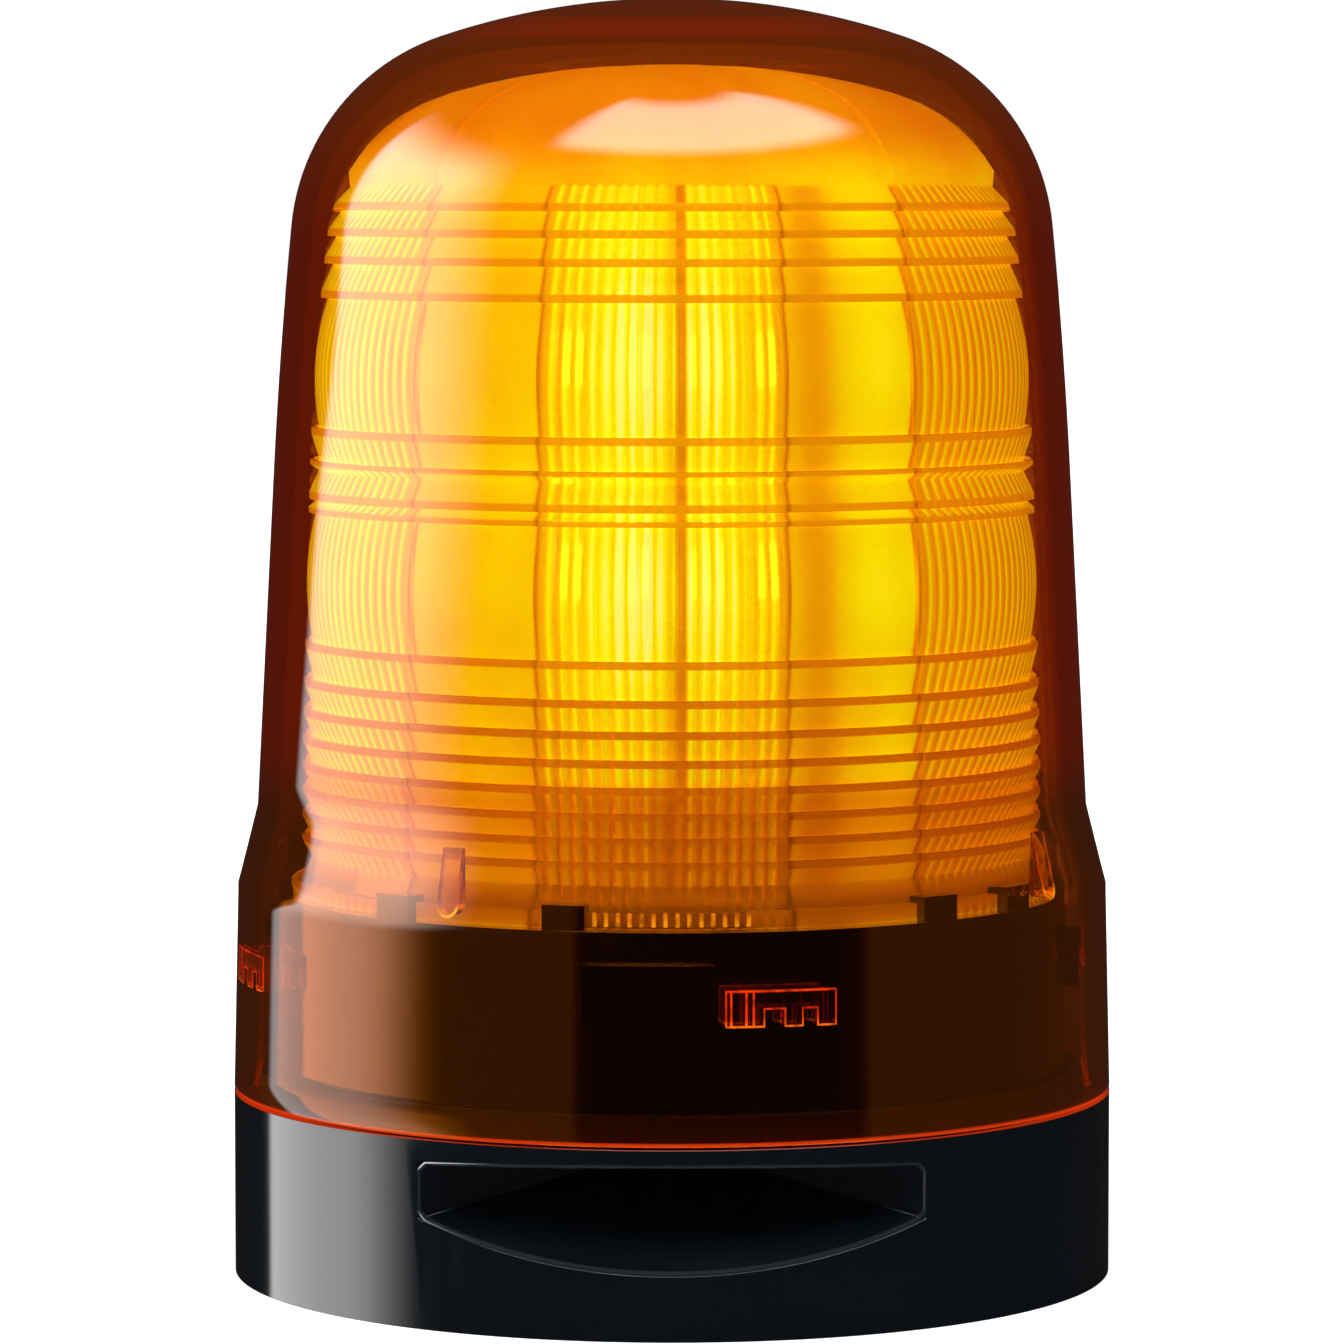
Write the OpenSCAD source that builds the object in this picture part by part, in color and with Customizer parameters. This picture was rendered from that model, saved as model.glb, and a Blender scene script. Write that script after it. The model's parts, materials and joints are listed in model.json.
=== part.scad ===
// Amber LED signal beacon with a built-in buzzer.
// The origin is the middle of the underside, +Z is up and the buzzer outlet faces -Y.
// Angles called "turn" are measured round the beacon from its front, towards +X.

/* [Overall] */
// Diameter of the base and of the globe's skirt
outer_d = 100; // [84:1:130]
// Height from the underside to the globe's apex
total_h = 144.5; // [122:0.5:190]

/* [Base] */
// Height of the base case, up to the globe's seat
base_h = 20.7; // [19:0.1:32]
// Wall of the base case
base_wall = 3; // [2:0.1:4]
// Thickness of the deck on top of the base case
deck_t = 1.8; // [1.6:0.1:3]
// Thickness of the bottom plate
plate_t = 3; // [2.6:0.1:4]
// Half width of the buzzer outlet
outlet_half_w = 27.5; // [20:0.5:30]
// Height of the outlet's lower edge at the front
outlet_low_z = 7.1; // [5.5:0.1:9]
// Slope of the outlet's ramp
outlet_slope = 31; // [26:1:36]

/* [Mounting] */
// Pitch circle of the three threaded inserts
insert_pcd = 64; // [56:1:66]
// Bore radius of the threaded inserts
insert_r = 2.1; // [1.6:0.05:2.6]
// Bore radius of the cable grommet
cable_r = 3.6; // [2.5:0.1:4.2]

/* [Inner body] */
// How far the black body lies inside the globe's outer face
body_gap = 5.1; // [4.9:0.1:5.8]
// Wall of the inner body
body_wall = 2; // [1.6:0.1:3]
// Height of the inner body's top face
body_top = 43.5; // [42:0.5:50]

/* [Globe] */
// Wall of the globe
globe_wall = 2.4; // [1.8:0.1:2.6]
// Height of the globe's straight skirt
skirt_h = 23.2; // [20:0.1:28]
// Draft of the globe's sides above the shoulder
globe_draft = 3; // [2:0.1:4]
// Radius of the globe's round corner
corner_r = 25; // [18:0.5:28]
// Radius of the globe's top
top_r = 82; // [70:1:140]
// Width of one bayonet lug, as an angle
lug_angle = 14.5; // [10:0.5:16]
// Turn that locks the globe
lock_turn = 15; // [12:0.5:16]

/* [Lens] */
// Wall of the inner lens
lens_wall = 2; // [1.6:0.1:2.6]
// Gap between the globe's apex and the lens below it
lens_top_gap = 3.6; // [3:0.1:8]
// Height between the two rows of lamps
row_pitch = 24; // [20:0.5:30]

/* [Lamps] */
// Distance from the axis to a face of the lamp column
column_apothem = 16; // [13:0.5:18]
// Thickness of a lamp board
board_t = 1.2; // [1:0.1:1.6]

/* [Controls] */
// Travel of a switch lever
lever_travel = 2; // [1.5:0.1:2.4]
// Pitch of the switch levers
lever_pitch = 2.54; // [2:0.02:3]

/* [Hidden] */
$fn = 96;
sides = 6;
lever_count = 4;

e = 0.01;
case_black = [0.05, 0.055, 0.065];
amber = [0.95, 0.42, 0.03, 0.55];
steel = [0.75, 0.75, 0.77];
board_green = [0.06, 0.3, 0.16];

outer_r = outer_d / 2;
seat_gap = 0.3;          // running gap under the globe and the seal
fit_gap = 0.2;           // gap round pieces that drop into a recess
body_r = outer_r - body_gap;
deck_z = base_h - deck_t;
base_inner_r = outer_r - base_wall;

// ---- helpers ----

// Places its children at a turn, a radius and a height, with +Y pointing outwards
module at_turn(turn, radius = 0, z = 0) {
    rotate([0, 0, turn - 180]) translate([0, radius, z]) children();
}

// A ring, or the part of it between two turns
module ring(r_in, r_out, z0, z1) {
    difference() {
        translate([0, 0, z0]) cylinder(r = r_out, h = z1 - z0);
        translate([0, 0, z0 - 1]) cylinder(r = r_in, h = z1 - z0 + 2);
    }
}
module arc_block(r_in, r_out, z0, z1, turn0, turn1) {
    rotate([0, 0, turn0 - 90])
        rotate_extrude(angle = turn1 - turn0)
            translate([r_in, z0]) square([r_out - r_in, z1 - z0]);
}

// A round screw: head from z to z + head_h, shank on to z_tip, on either side
module screw(z, head_r, head_h, shank_r, z_tip) {
    low = min(z, z_tip);
    translate([0, 0, z]) cylinder(r = head_r, h = head_h);
    translate([0, 0, low]) cylinder(r = shank_r, h = max(z + head_h / 2, z_tip) - low);
}

function arc_points(c, r, a0, a1, n) =
    [for (i = [0:n]) let (a = a0 + (a1 - a0) * i / n) [c[0] + r * cos(a), c[1] + r * sin(a)]];

// ---- globe ----

shell_bottom = base_h + seat_gap;
skirt_top = shell_bottom + skirt_h;
skirt_draft = 0.55;
shoulder_h = 9.1;
side_r = 600;
side_tilt = 5.7;
corner_in = 31.8;        // how far the round corner's middle lies inside the skirt
dome_inset = outer_r - corner_in;
dome_z = total_h - top_r + sqrt(pow(top_r - corner_r, 2) - pow(dome_inset, 2));
dome_turn = acos(dome_inset / (top_r - corner_r));
side_c = [dome_inset - (side_r - corner_r) * cos(side_tilt), dome_z - (side_r - corner_r) * sin(side_tilt)];
side_low = [side_c[0] + side_r * cos(globe_draft), side_c[1] + side_r * sin(globe_draft)];
shoulder_top = skirt_top + shoulder_h;
shoulder_top_r = side_low[0] + (side_low[1] - shoulder_top) * tan(globe_draft);

// The globe's outline at a depth inside its outer face, from the skirt up to the axis
function globe_line(depth) = concat(
    [[outer_r - depth, shell_bottom - 1], [outer_r - depth, shell_bottom]],
    [[outer_r - skirt_draft - depth, skirt_top - depth * 0.12]],
    [[shoulder_top_r - depth, shoulder_top - depth * 0.1]],
    arc_points(side_c, side_r - depth, globe_draft, side_tilt, 4),
    arc_points([dome_inset, dome_z], corner_r - depth, side_tilt, dome_turn, 14),
    arc_points([0, total_h - top_r], top_r - depth, dome_turn, 90, 6)
);

lug_gap = 0.6;           // between the inner body and the lugs
lug_r = body_r + lug_gap;
lug_z = [33.7, 37.5];
lug_start = 6.9;
notch_at = [0.32, 0.66];  // where a lug's two notches start, as shares of its width
notch_h = 2.2;
rib_turn = -30.4;
rib_w = 2.4;
rib_gap = 0.35;          // between the inner body's radius and the shoulder ribs
rib_z = [body_top + 2.4, body_top + 8.5];

// The pattern keeps four bayonet lugs, evenly spaced
module quarter_turns() { for (k = [0:3]) rotate([0, 0, 90 * k]) children(); }

module globe_solid(depth) {
    line = globe_line(depth);
    rotate_extrude() polygon(concat([[0, line[0][1]]], line));
}

module globe() {
    color(amber) {
        difference() {
            intersection() {
                globe_solid(0);
                translate([0, 0, shell_bottom]) cylinder(r = outer_r + 1, h = total_h);
            }
            globe_solid(globe_wall);
        }
        quarter_turns() {
            bayonet_lug();
            shoulder_rib();
        }
    }
}

// One lug, with its stop rib and the two notches in its lower edge
module bayonet_lug() {
    wall_r = outer_r - skirt_draft - globe_wall / 2;
    notch = lug_angle / 8;
    difference() {
        arc_block(lug_r, wall_r, lug_z[0], lug_z[1], lug_start, lug_start + lug_angle);
        for (k = [0, 1])
            arc_block(lug_r - 1, outer_r - globe_wall - skirt_draft, lug_z[0] - 1, lug_z[0] + notch_h,
                lug_start + lug_angle * notch_at[k], lug_start + lug_angle * notch_at[k] + notch);
    }
}

// One upright rib inside the shoulder, with a round lower end
module shoulder_rib() {
    reach = body_r + rib_gap;
    intersection() {
        at_turn(rib_turn, reach + 2, 0) hull() {
            for (z = rib_z) translate([0, -2, z]) rotate([-90, 0, 0])
                cylinder(r = rib_w / 2, h = 6, $fn = 32);
        }
        globe_solid(globe_wall / 2);
    }
}

// ---- inner lens ----

lens_bottom = body_top;
lens_top = total_h - globe_wall - lens_top_gap;
lens_corner_r = 20;
lens_top_r = 76;
lens_side_r = 300;
lens_side_tilt = 7;
lens_draft = 1.8;
lens_corner_in = 25.7;   // how far the lens's round corner lies inside the body's radius
lens_inset = body_r - lens_corner_in;
lens_dome_z = lens_top - lens_top_r + sqrt(pow(lens_top_r - lens_corner_r, 2) - pow(lens_inset, 2));
lens_dome_turn = acos(lens_inset / (lens_top_r - lens_corner_r));
lens_corner_top = lens_dome_z + lens_corner_r * sin(lens_dome_turn);
lens_side_c = [lens_inset, lens_dome_z]
    - (lens_side_r - lens_corner_r) * [cos(lens_side_tilt), sin(lens_side_tilt)];
lens_side_top = lens_dome_z + lens_corner_r * sin(lens_side_tilt);
lens_side_low = lens_side_c[1] + lens_side_r * sin(lens_draft);

flange_in = 2.8;         // how far the lens's foot stays inside the body's radius
function lens_foot_r(z) =
    lens_side_c[0] + lens_side_r * cos(lens_draft) + (lens_side_low - z) * tan(lens_draft);

// Outer radius of the lens's plain surface at a height
function lens_r(z) =
    z > lens_corner_top ? sqrt(pow(lens_top_r, 2) - pow(z - lens_top + lens_top_r, 2))
    : z > lens_side_top ? lens_inset + sqrt(pow(lens_corner_r, 2) - pow(z - lens_dome_z, 2))
    : z > lens_side_low ? lens_side_c[0] + sqrt(pow(lens_side_r, 2) - pow(z - lens_side_c[1], 2))
    : min(lens_foot_r(z), body_r - flange_in);

row_raise = 0.6;         // the lamps sit a little above the lens's middle
row_mid = (lens_bottom + lens_top) / 2 + row_raise;
row_z = [row_mid - row_pitch / 2, row_mid + row_pitch / 2];
bulge_half = 7.2;
bulge_depth = 0.8;
prism_depth = 1;
flange_t = 1.9;
foot_h = 2.6;            // plain foot above the flange
crown_h = 12.4;          // height of the prisms above the upper row

// Prism edges between two heights, finer towards the second one
function graded(z0, z1, n) = [for (i = [0:n]) z0 + (z1 - z0) * pow(i / n, 0.85)];

// One prism between two edges: its flank falls back from the edge nearer the lamps
function prism_flank(near, far) = [[lens_r(near), near], [lens_r(far) - prism_depth, far]];

lower_edges = graded(row_z[0] - bulge_half, lens_bottom + flange_t + foot_h, 8);
upper_edges = graded(row_z[1] + bulge_half, row_z[1] + bulge_half + crown_h, 4);
middle_edges = [for (i = [0:4]) row_z[0] + bulge_half + (row_pitch - 2 * bulge_half) * i / 4];

function reversed(list) = [for (i = [len(list) - 1:-1:0]) list[i]];
function bulge(z) = [for (i = [0:6]) let (h = -bulge_half + i * bulge_half / 3)
    [lens_r(z + h) - bulge_depth * pow(h / bulge_half, 2), z + h]];

function lens_outline() = concat(
    [[lens_r(lens_bottom), lens_bottom + flange_t]],
    [for (i = [len(lower_edges) - 1:-1:1])
        for (p = reversed(prism_flank(lower_edges[i - 1], lower_edges[i]))) p],
    bulge(row_z[0]),
    [for (i = [0:3]) for (p = i < 2 ? prism_flank(middle_edges[i], middle_edges[i + 1])
        : reversed(prism_flank(middle_edges[i + 1], middle_edges[i]))) p],
    bulge(row_z[1]),
    [for (i = [0:3]) for (p = prism_flank(upper_edges[i], upper_edges[i + 1])) p],
    [for (i = [1:8]) let (z = upper_edges[4] + (lens_top - upper_edges[4]) * sin(90 * i / 8))
        [max(lens_r(z), 0), z]]
);

// The lens's smooth inner face, from its open bottom to the axis
function lens_inside() = concat(
    [for (i = [0:8]) let (z = lens_bottom + (lens_side_top - lens_bottom) * i / 8)
        [lens_r(z) - prism_depth - lens_wall, z]],
    [for (i = [1:8]) let (z = lens_side_top + (lens_top - lens_wall - lens_side_top) * sin(90 * i / 8))
        [max(lens_r(z + lens_wall) - prism_depth - lens_wall * cos(90 * i / 8), 0), z]]
);

flange_r = body_r - 1.6;
module inner_lens() {
    outline = lens_outline();
    inside = lens_inside();
    color([1, 0.62, 0.1, 0.5])
        rotate_extrude() polygon(concat(
            [[inside[0][0], lens_bottom], [flange_r, lens_bottom], [flange_r, lens_bottom + flange_t]],
            outline,
            reversed(inside)
        ));
}

// ---- base ----

outlet_y = -sqrt(outer_r * outer_r - outlet_half_w * outlet_half_w);
outlet_turn_in = 21.6;
outlet_back_y = outlet_y + outlet_half_w * tan(outlet_turn_in);
outlet_top_z = base_h - 1.5;
ceiling_slope = 6.3;
outlet_wall = 2.2;
outlet_end_y = -outer_r + (outlet_top_z - outlet_low_z) / (tan(outlet_slope) + tan(ceiling_slope));
boss_r = 4;
case_screw_in = 8.9;     // how far the case screws lie inside the inner body's radius
case_screw_r = body_r - case_screw_in;
case_screw_turns = [45, 135, 225, 315];
buzzer_r = 15.2;
buzzer_gap = 0.7;
buzzer_y = -(body_r - body_wall - buzzer_gap - buzzer_r);
buzzer_screw = [18.2, buzzer_y + 3.2];
deck_edge = case_screw_r - 5;

// The outlet's outline seen from above, grown by a margin
module outlet_plan(margin) {
    w = outlet_half_w + margin;
    polygon([
        [-w, -2 * outer_r], [-w, outlet_y + margin * 0.6],
        [0, outlet_back_y + margin],
        [w, outlet_y + margin * 0.6], [w, -2 * outer_r]
    ]);
}

// The space between the outlet's ramp and its ceiling
module outlet_wedge() {
    out = 10;
    rotate([90, 0, 90]) translate([0, 0, -outer_r]) linear_extrude(2 * outer_r) polygon([
        [-outer_r - out, outlet_low_z - out * tan(outlet_slope)],
        [outlet_end_y, outlet_low_z + (outlet_end_y + outer_r) * tan(outlet_slope)],
        [-outer_r - out, outlet_top_z + out * tan(ceiling_slope)]
    ]);
}

module outlet_pocket() {
    intersection() {
        linear_extrude(base_h + 10) outlet_plan(0);
        outlet_wedge();
    }
}

// Hollow under the ramp, which keeps the outlet's walls even
module outlet_core() {
    intersection() {
        translate([0, 0, -10]) linear_extrude(base_h) outlet_plan(-0.2);
        translate([0, outlet_wall + 1.2, -outlet_wall]) outlet_wedge_below();
        cylinder(r = base_inner_r, h = base_h);
    }
}
module outlet_wedge_below() {
    rotate([90, 0, 90]) translate([0, 0, -outer_r]) linear_extrude(2 * outer_r) polygon([
        [-outer_r, 0], [outlet_end_y, 0],
        [outlet_end_y, outlet_low_z + (outlet_end_y + outer_r) * tan(outlet_slope)], [-outer_r, outlet_low_z]
    ]);
}

seal_groove = [body_r - 1.6, body_r - 0.5];
seal_groove_h = 0.9;
slot_w = 2;
slot_l = 3.4;
slot_out = 12.3;         // from the buzzer's middle to the slots' outer ends
slot_count = 5;

module base_case() {
    color(case_black) difference() {
        union() {
            ring(base_inner_r, outer_r, 0, base_h);
            ring(deck_edge, base_inner_r + 0.5, deck_z, base_h);
            // deck under the buzzer
            intersection() {
                translate([0, 0, deck_z]) cylinder(r = base_inner_r + 0.5, h = deck_t);
                translate([-outer_r, -outer_r, 0]) cube([2 * outer_r, outer_r - 9, base_h]);
            }
            // walls of the outlet
            intersection() {
                translate([0, 0, plate_t + fit_gap]) linear_extrude(deck_z - plate_t - fit_gap + e)
                    outlet_plan(outlet_wall);
                cylinder(r = base_inner_r + 0.5, h = base_h);
            }
            for (t = case_screw_turns) at_turn(t, case_screw_r, plate_t + fit_gap)
                cylinder(r = boss_r, h = deck_z - plate_t);
            for (s = [-1, 1]) translate([s * buzzer_screw[0], buzzer_screw[1], deck_z - 6])
                cylinder(r = 3, h = 6.5);
        }
        outlet_pocket();
        outlet_core();
        ring(seal_groove[0], seal_groove[1], base_h - seal_groove_h, base_h + 1);
        for (t = case_screw_turns) at_turn(t, case_screw_r, -1) cylinder(r = 1.9, h = base_h + 2);
        for (s = [-1, 1]) translate([s * buzzer_screw[0], buzzer_screw[1], deck_z - 5])
            cylinder(r = 1.05, h = 8);
        // sound slots in the outlet's ceiling
        for (i = [0:slot_count - 1])
            translate([(i - (slot_count - 1) / 2) * 2 * slot_w - slot_w / 2, buzzer_y - slot_out, base_h - 4])
                cube([slot_w, slot_l, 6]);
    }
}

gasket_r = [base_inner_r - 5.6, base_inner_r - 1.4];
gasket_t = 1.6;
plate_r = base_inner_r - fit_gap;
grommet_r = 6;
insert_outer_r = 3.5;
insert_turns = [60, 180, 300];
head_h = 1.9;
screw_seat = plate_t - 1 - head_h;

module base_plate() {
    color(case_black) difference() {
        union() {
            cylinder(r = plate_r, h = plate_t);
            for (t = insert_turns) at_turn(t, insert_pcd / 2) cylinder(r = insert_outer_r + 1.6, h = 9);
        }
        ring(gasket_r[0] - 0.1, gasket_r[1] + 0.1, -1, gasket_t);
        for (t = insert_turns) at_turn(t, insert_pcd / 2, -1) cylinder(r = insert_outer_r, h = 11);
        translate([0, 0, -1]) cylinder(r = grommet_r, h = plate_t + 2);
        translate([0, 0, -1]) cylinder(r = grommet_r + 2.6, h = 2.3);
        for (t = case_screw_turns) at_turn(t, case_screw_r, -1) {
            cylinder(r = 1.9, h = plate_t + 2);
            cylinder(r = 3.4, h = screw_seat + head_h + 1);
        }
    }
}

module base_gasket() {
    color([0.09, 0.09, 0.09]) ring(gasket_r[0], gasket_r[1], 0, gasket_t);
}

module threaded_inserts() {
    color([0.8, 0.65, 0.3]) for (t = insert_turns) at_turn(t, insert_pcd / 2) difference() {
        union() {
            translate([0, 0, 0.1]) cylinder(r = insert_outer_r - 0.05, h = 3);
            translate([0, 0, 3]) cylinder(r = insert_outer_r - 0.35, h = 1.2);
            translate([0, 0, 4.1]) cylinder(r = insert_outer_r - 0.05, h = 4.4);
        }
        translate([0, 0, -1]) cylinder(r = insert_r, h = 12);
    }
}

module cable_grommet() {
    color([0.1, 0.1, 0.1]) difference() {
        union() {
            translate([0, 0, 0.1]) cylinder(r = grommet_r + 2.4, h = 1.1);
            translate([0, 0, 0.1]) cylinder(r = grommet_r - 0.1, h = plate_t + 1);
            translate([0, 0, plate_t + 0.1]) cylinder(r = grommet_r + 1.6, h = 1.4);
            translate([0, 0, plate_t + 1.4]) cylinder(r1 = grommet_r + 0.6, r2 = cable_r + 1.2, h = 3);
        }
        translate([0, 0, -1]) cylinder(r = cable_r, h = plate_t + 8);
    }
}

module case_screws() {
    color(steel) for (t = case_screw_turns) at_turn(t, case_screw_r) difference() {
        union() {
            translate([0, 0, screw_seat]) cylinder(r = 3.1, h = head_h);
            translate([0, 0, screw_seat + 1]) cylinder(r = 1.5, h = body_top - 8.5 - screw_seat);
        }
        translate([0, 0, screw_seat - 1]) cylinder(r = 1.4, h = 2, $fn = 6);
    }
}

module case_seal() {
    color([0.12, 0.12, 0.12])
        ring(seal_groove[0] + 0.1, seal_groove[1] - 0.1, base_h - seal_groove_h, base_h);
}

// ---- inner body ----

inner_r = body_r - body_wall;
top_plate_t = 2;
plate_z = body_top - top_plate_t;
ledge_r = outer_r - skirt_draft - globe_wall - 0.4;
tab_turns = [-42, -15, 40, 57];
tab_angle = 6;
wire_r = 9;
board_over = 9.3;        // underside of the main board above the base, clear of the buzzer
board_z = base_h + board_over;
pcb_t = 1.6;
board_r = case_screw_r - boss_r - 0.6;
board_screw_r = board_r - 4.5;
board_screw_turns = [60, 180, 300];
column_screw_r = column_apothem / cos(180 / sides) + 3;
column_screw_turns = [30, 150, 270];
window_x = [-13.4, -0.6];
window_half_h = 3.4;
knob_x = 8;
knob_over = 9.3;         // middle of the switches above the base
knob_z = base_h + knob_over;
window_z = [knob_z - window_half_h, knob_z + window_half_h];
panel_y = inner_r - 0.3;          // face of the switches, just inside the wall
switch_board_y = panel_y - 4;
switch_board_w = 14;

module upper_case() {
    color(case_black) difference() {
        union() {
            ring(inner_r, body_r, base_h, body_top);
            translate([0, 0, plate_z]) cylinder(r = body_r - 0.5, h = top_plate_t);
            for (t = case_screw_turns) at_turn(t, case_screw_r, base_h)
                cylinder(r = boss_r - 0.2, h = plate_z - base_h + e);
            for (t = board_screw_turns) at_turn(t, board_screw_r, board_z + pcb_t)
                cylinder(r = 2.6, h = plate_z - board_z - pcb_t + e);
            for (t = column_screw_turns) at_turn(t, column_screw_r, plate_z - 4) cylinder(r = 3, h = 4 + e);
            // the ledge over each lug, and its stop
            quarter_turns() {
                arc_block(body_r - 0.5, ledge_r, lug_z[1] + 0.4, lug_z[1] + 2.8,
                    lug_start - lock_turn - 5, lug_start - 1.5);
                arc_block(body_r - 0.5, ledge_r - 0.2, lug_z[0] - 0.3, lug_z[1] + 0.5,
                    lug_start - lock_turn - 4, lug_start - lock_turn - 2);
            }
            // tabs that hold the lens's flange
            for (t = tab_turns) for (s = [0, 180]) {
                arc_block(flange_r + 0.15, body_r - 0.2, body_top - 0.5, body_top + flange_t + 0.8,
                    t + s - tab_angle / 2, t + s + tab_angle / 2);
                arc_block(lens_r(lens_bottom) + 0.15, flange_r + 0.3,
                    body_top + flange_t, body_top + flange_t + 0.8,
                    t + s - tab_angle / 2, t + s + tab_angle / 2);
            }
            // rails for the switch board
            for (s = [-1, 1]) intersection() {
                translate([s * (switch_board_w + 1.1) - 0.9, switch_board_y - 2.4, base_h + 2])
                    cube([1.8, 12, plate_z - base_h - 2 + e]);
                cylinder(r = inner_r + 0.5, h = body_top);
            }
        }
        translate([0, 0, plate_z - 1]) cylinder(r = wire_r, h = top_plate_t + 2);
        for (t = case_screw_turns) at_turn(t, case_screw_r, base_h - 1)
            cylinder(r = 1.55, h = body_top - 6.5 - base_h);
        for (t = board_screw_turns) at_turn(t, board_screw_r, board_z) cylinder(r = 1.05, h = 9);
        for (t = column_screw_turns) at_turn(t, column_screw_r, plate_z - 3) cylinder(r = 1.3, h = 9);
        // windows over the switches
        translate([window_x[0], panel_y - 4, window_z[0]])
            cube([window_x[1] - window_x[0], 12, window_z[1] - window_z[0]]);
        translate([knob_x, panel_y - 4, knob_z]) rotate([-90, 0, 0]) cylinder(r = 4, h = 12);
    }
}

seal_h = 3;
seal_side_gap = 0.25;    // between the seal and the globe's inner face
seal_out_r = outer_r - skirt_draft - globe_wall - seal_side_gap;
module globe_seal() {
    color([0.1, 0.1, 0.1])
        ring(body_r + seat_gap, seal_out_r, base_h + seat_gap, base_h + seat_gap + seal_h);
}

// ---- lamps ----

column_t = 2;
column_flange_r = column_screw_r + 3.4;
column_flange_t = 2;
column_over = 18;        // height of the column above the upper row
column_top = row_z[1] + column_over;
circum = 1 / cos(180 / sides);
lamp_board_w = 2 * column_apothem * tan(180 / sides) - 1.4;
lamp_board_z = [row_z[0] - 17, row_z[1] + 14];
lamp_x = 4.4;
lamp_size = 3.5;

module hexagon(apothem, h) { cylinder(r = apothem * circum, h = h, $fn = 6); }

module led_column() {
    color([0.7, 0.71, 0.73]) difference() {
        union() {
            translate([0, 0, body_top]) hexagon(column_apothem, column_top - body_top);
            translate([0, 0, body_top]) cylinder(r = column_flange_r, h = column_flange_t);
        }
        translate([0, 0, body_top - 1]) hexagon(column_apothem - column_t, column_top - body_top + 2);
        for (t = column_screw_turns) at_turn(t, column_screw_r, body_top - 1)
            cylinder(r = 1.7, h = column_flange_t + 2);
    }
}

module column_screws() {
    color(steel) for (t = column_screw_turns) at_turn(t, column_screw_r, 0)
        screw(body_top + column_flange_t, 2.7, 1.9, 1.25, plate_z - 2.6);
}

cap_t = 2.4;
module column_cap() {
    color([0.92, 0.92, 0.9]) difference() {
        union() {
            translate([0, 0, column_top]) hexagon(column_apothem + board_t + 1.2, cap_t);
            translate([0, 0, column_top - 4]) hexagon(column_apothem - column_t - 0.2, 4 + e);
            // three clips stand on the cap
            for (t = [0, 120, 240]) at_turn(t + 20, column_apothem - 4, column_top + cap_t - e)
                translate([-3, -1, 0]) cube([6, 2, 3.4]);
        }
        translate([0, 0, column_top - 5]) cylinder(r = 1.4, h = cap_t + 6);
        translate([0, 0, column_top - 5]) cylinder(r = column_apothem - 6, h = 4);
    }
}
module cap_screw() {
    color(steel) screw(column_top + cap_t, 3, 1.8, 1.25, column_top - 0.8);
}

module led_board(i) {
    color([0.9, 0.9, 0.88]) at_turn(60 * (i - 1), column_apothem, lamp_board_z[0])
        translate([-lamp_board_w / 2, 0, 0]) cube([lamp_board_w, board_t, lamp_board_z[1] - lamp_board_z[0]]);
}

// Four lamps on one board: two side by side in each row, each a case with a round dome
module led_chips(i) {
    color([1, 0.85, 0.35]) for (z = row_z) for (s = [-1, 1])
        at_turn(60 * (i - 1), column_apothem + board_t, z) translate([s * lamp_x, 0, 0]) {
            translate([-lamp_size / 2, 0, -lamp_size / 2]) cube([lamp_size, 1, lamp_size]);
            translate([0, 0.9, 0]) rotate([-90, 0, 0]) cylinder(r = 1.35, h = 0.6);
        }
}

// ---- electronics ----

module main_board() {
    color(board_green) difference() {
        translate([0, 0, board_z]) cylinder(r = board_r, h = pcb_t);
        for (t = board_screw_turns) at_turn(t, board_screw_r, board_z - 1) cylinder(r = 1.5, h = pcb_t + 2);
    }
}

module board_screws() {
    color(steel) for (t = board_screw_turns) at_turn(t, board_screw_r, 0)
        screw(board_z - 1.6, 2.4, 1.6, 1, board_z + pcb_t + 5);
}

cap_h = plate_z - board_z - pcb_t - 0.6;
module capacitors() {
    color([0.15, 0.17, 0.3]) for (x = [-16, -5.5]) translate([x, 14, board_z + pcb_t]) difference() {
        cylinder(r = 4.6, h = cap_h);
        translate([0, 0, cap_h - 0.3]) cylinder(r = 3.8, h = 1);
    }
}

module choke_coil() {
    color([0.6, 0.35, 0.15]) translate([9, 13, board_z + pcb_t]) {
        cylinder(r = 6, h = 1.2);
        cylinder(r = 4.8, h = 4.6);
        translate([0, 0, 4.4]) cylinder(r = 6, h = 1.2);
    }
}

module driver_chips() {
    color([0.08, 0.08, 0.09]) {
        translate([-20, -4, board_z + pcb_t]) cube([10, 6, 1.8]);
        translate([6, -3, board_z + pcb_t]) cube([7, 7, 1.6]);
        translate([16, -6, board_z + pcb_t]) cube([6, 5, 1.6]);
    }
}

module led_connector() {
    color([0.93, 0.92, 0.86]) translate([-7, -14, board_z + pcb_t]) difference() {
        cube([14, 6, 6]);
        translate([1, 1, 1.2]) cube([12, 4, 6]);
    }
}

terminal_n = 6;
terminal_pitch = 5;
terminal_h = 9.5;
module terminal_block() {
    w = terminal_n * terminal_pitch;
    color([0.1, 0.35, 0.2]) translate([-w / 2, 6, board_z - terminal_h]) difference() {
        cube([w, 9, terminal_h]);
        for (i = [0:terminal_n - 1]) translate([(i + 0.5) * terminal_pitch, 4.5, -1]) {
            cylinder(r = 1.9, h = 4.4);
            translate([-1.5, -8, 4.6]) cube([3, 6, 3]);
        }
    }
}

module terminal_screws() {
    color(steel) for (i = [0:terminal_n - 1])
        translate([(i - (terminal_n - 1) / 2) * terminal_pitch, 10.5, board_z - terminal_h + 1.6])
            difference() {
                cylinder(r = 1.8, h = 1.8);
                translate([-3, -0.3, -1]) cube([6, 0.6, 1.5]);
            }
}

// ---- buzzer ----

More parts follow.
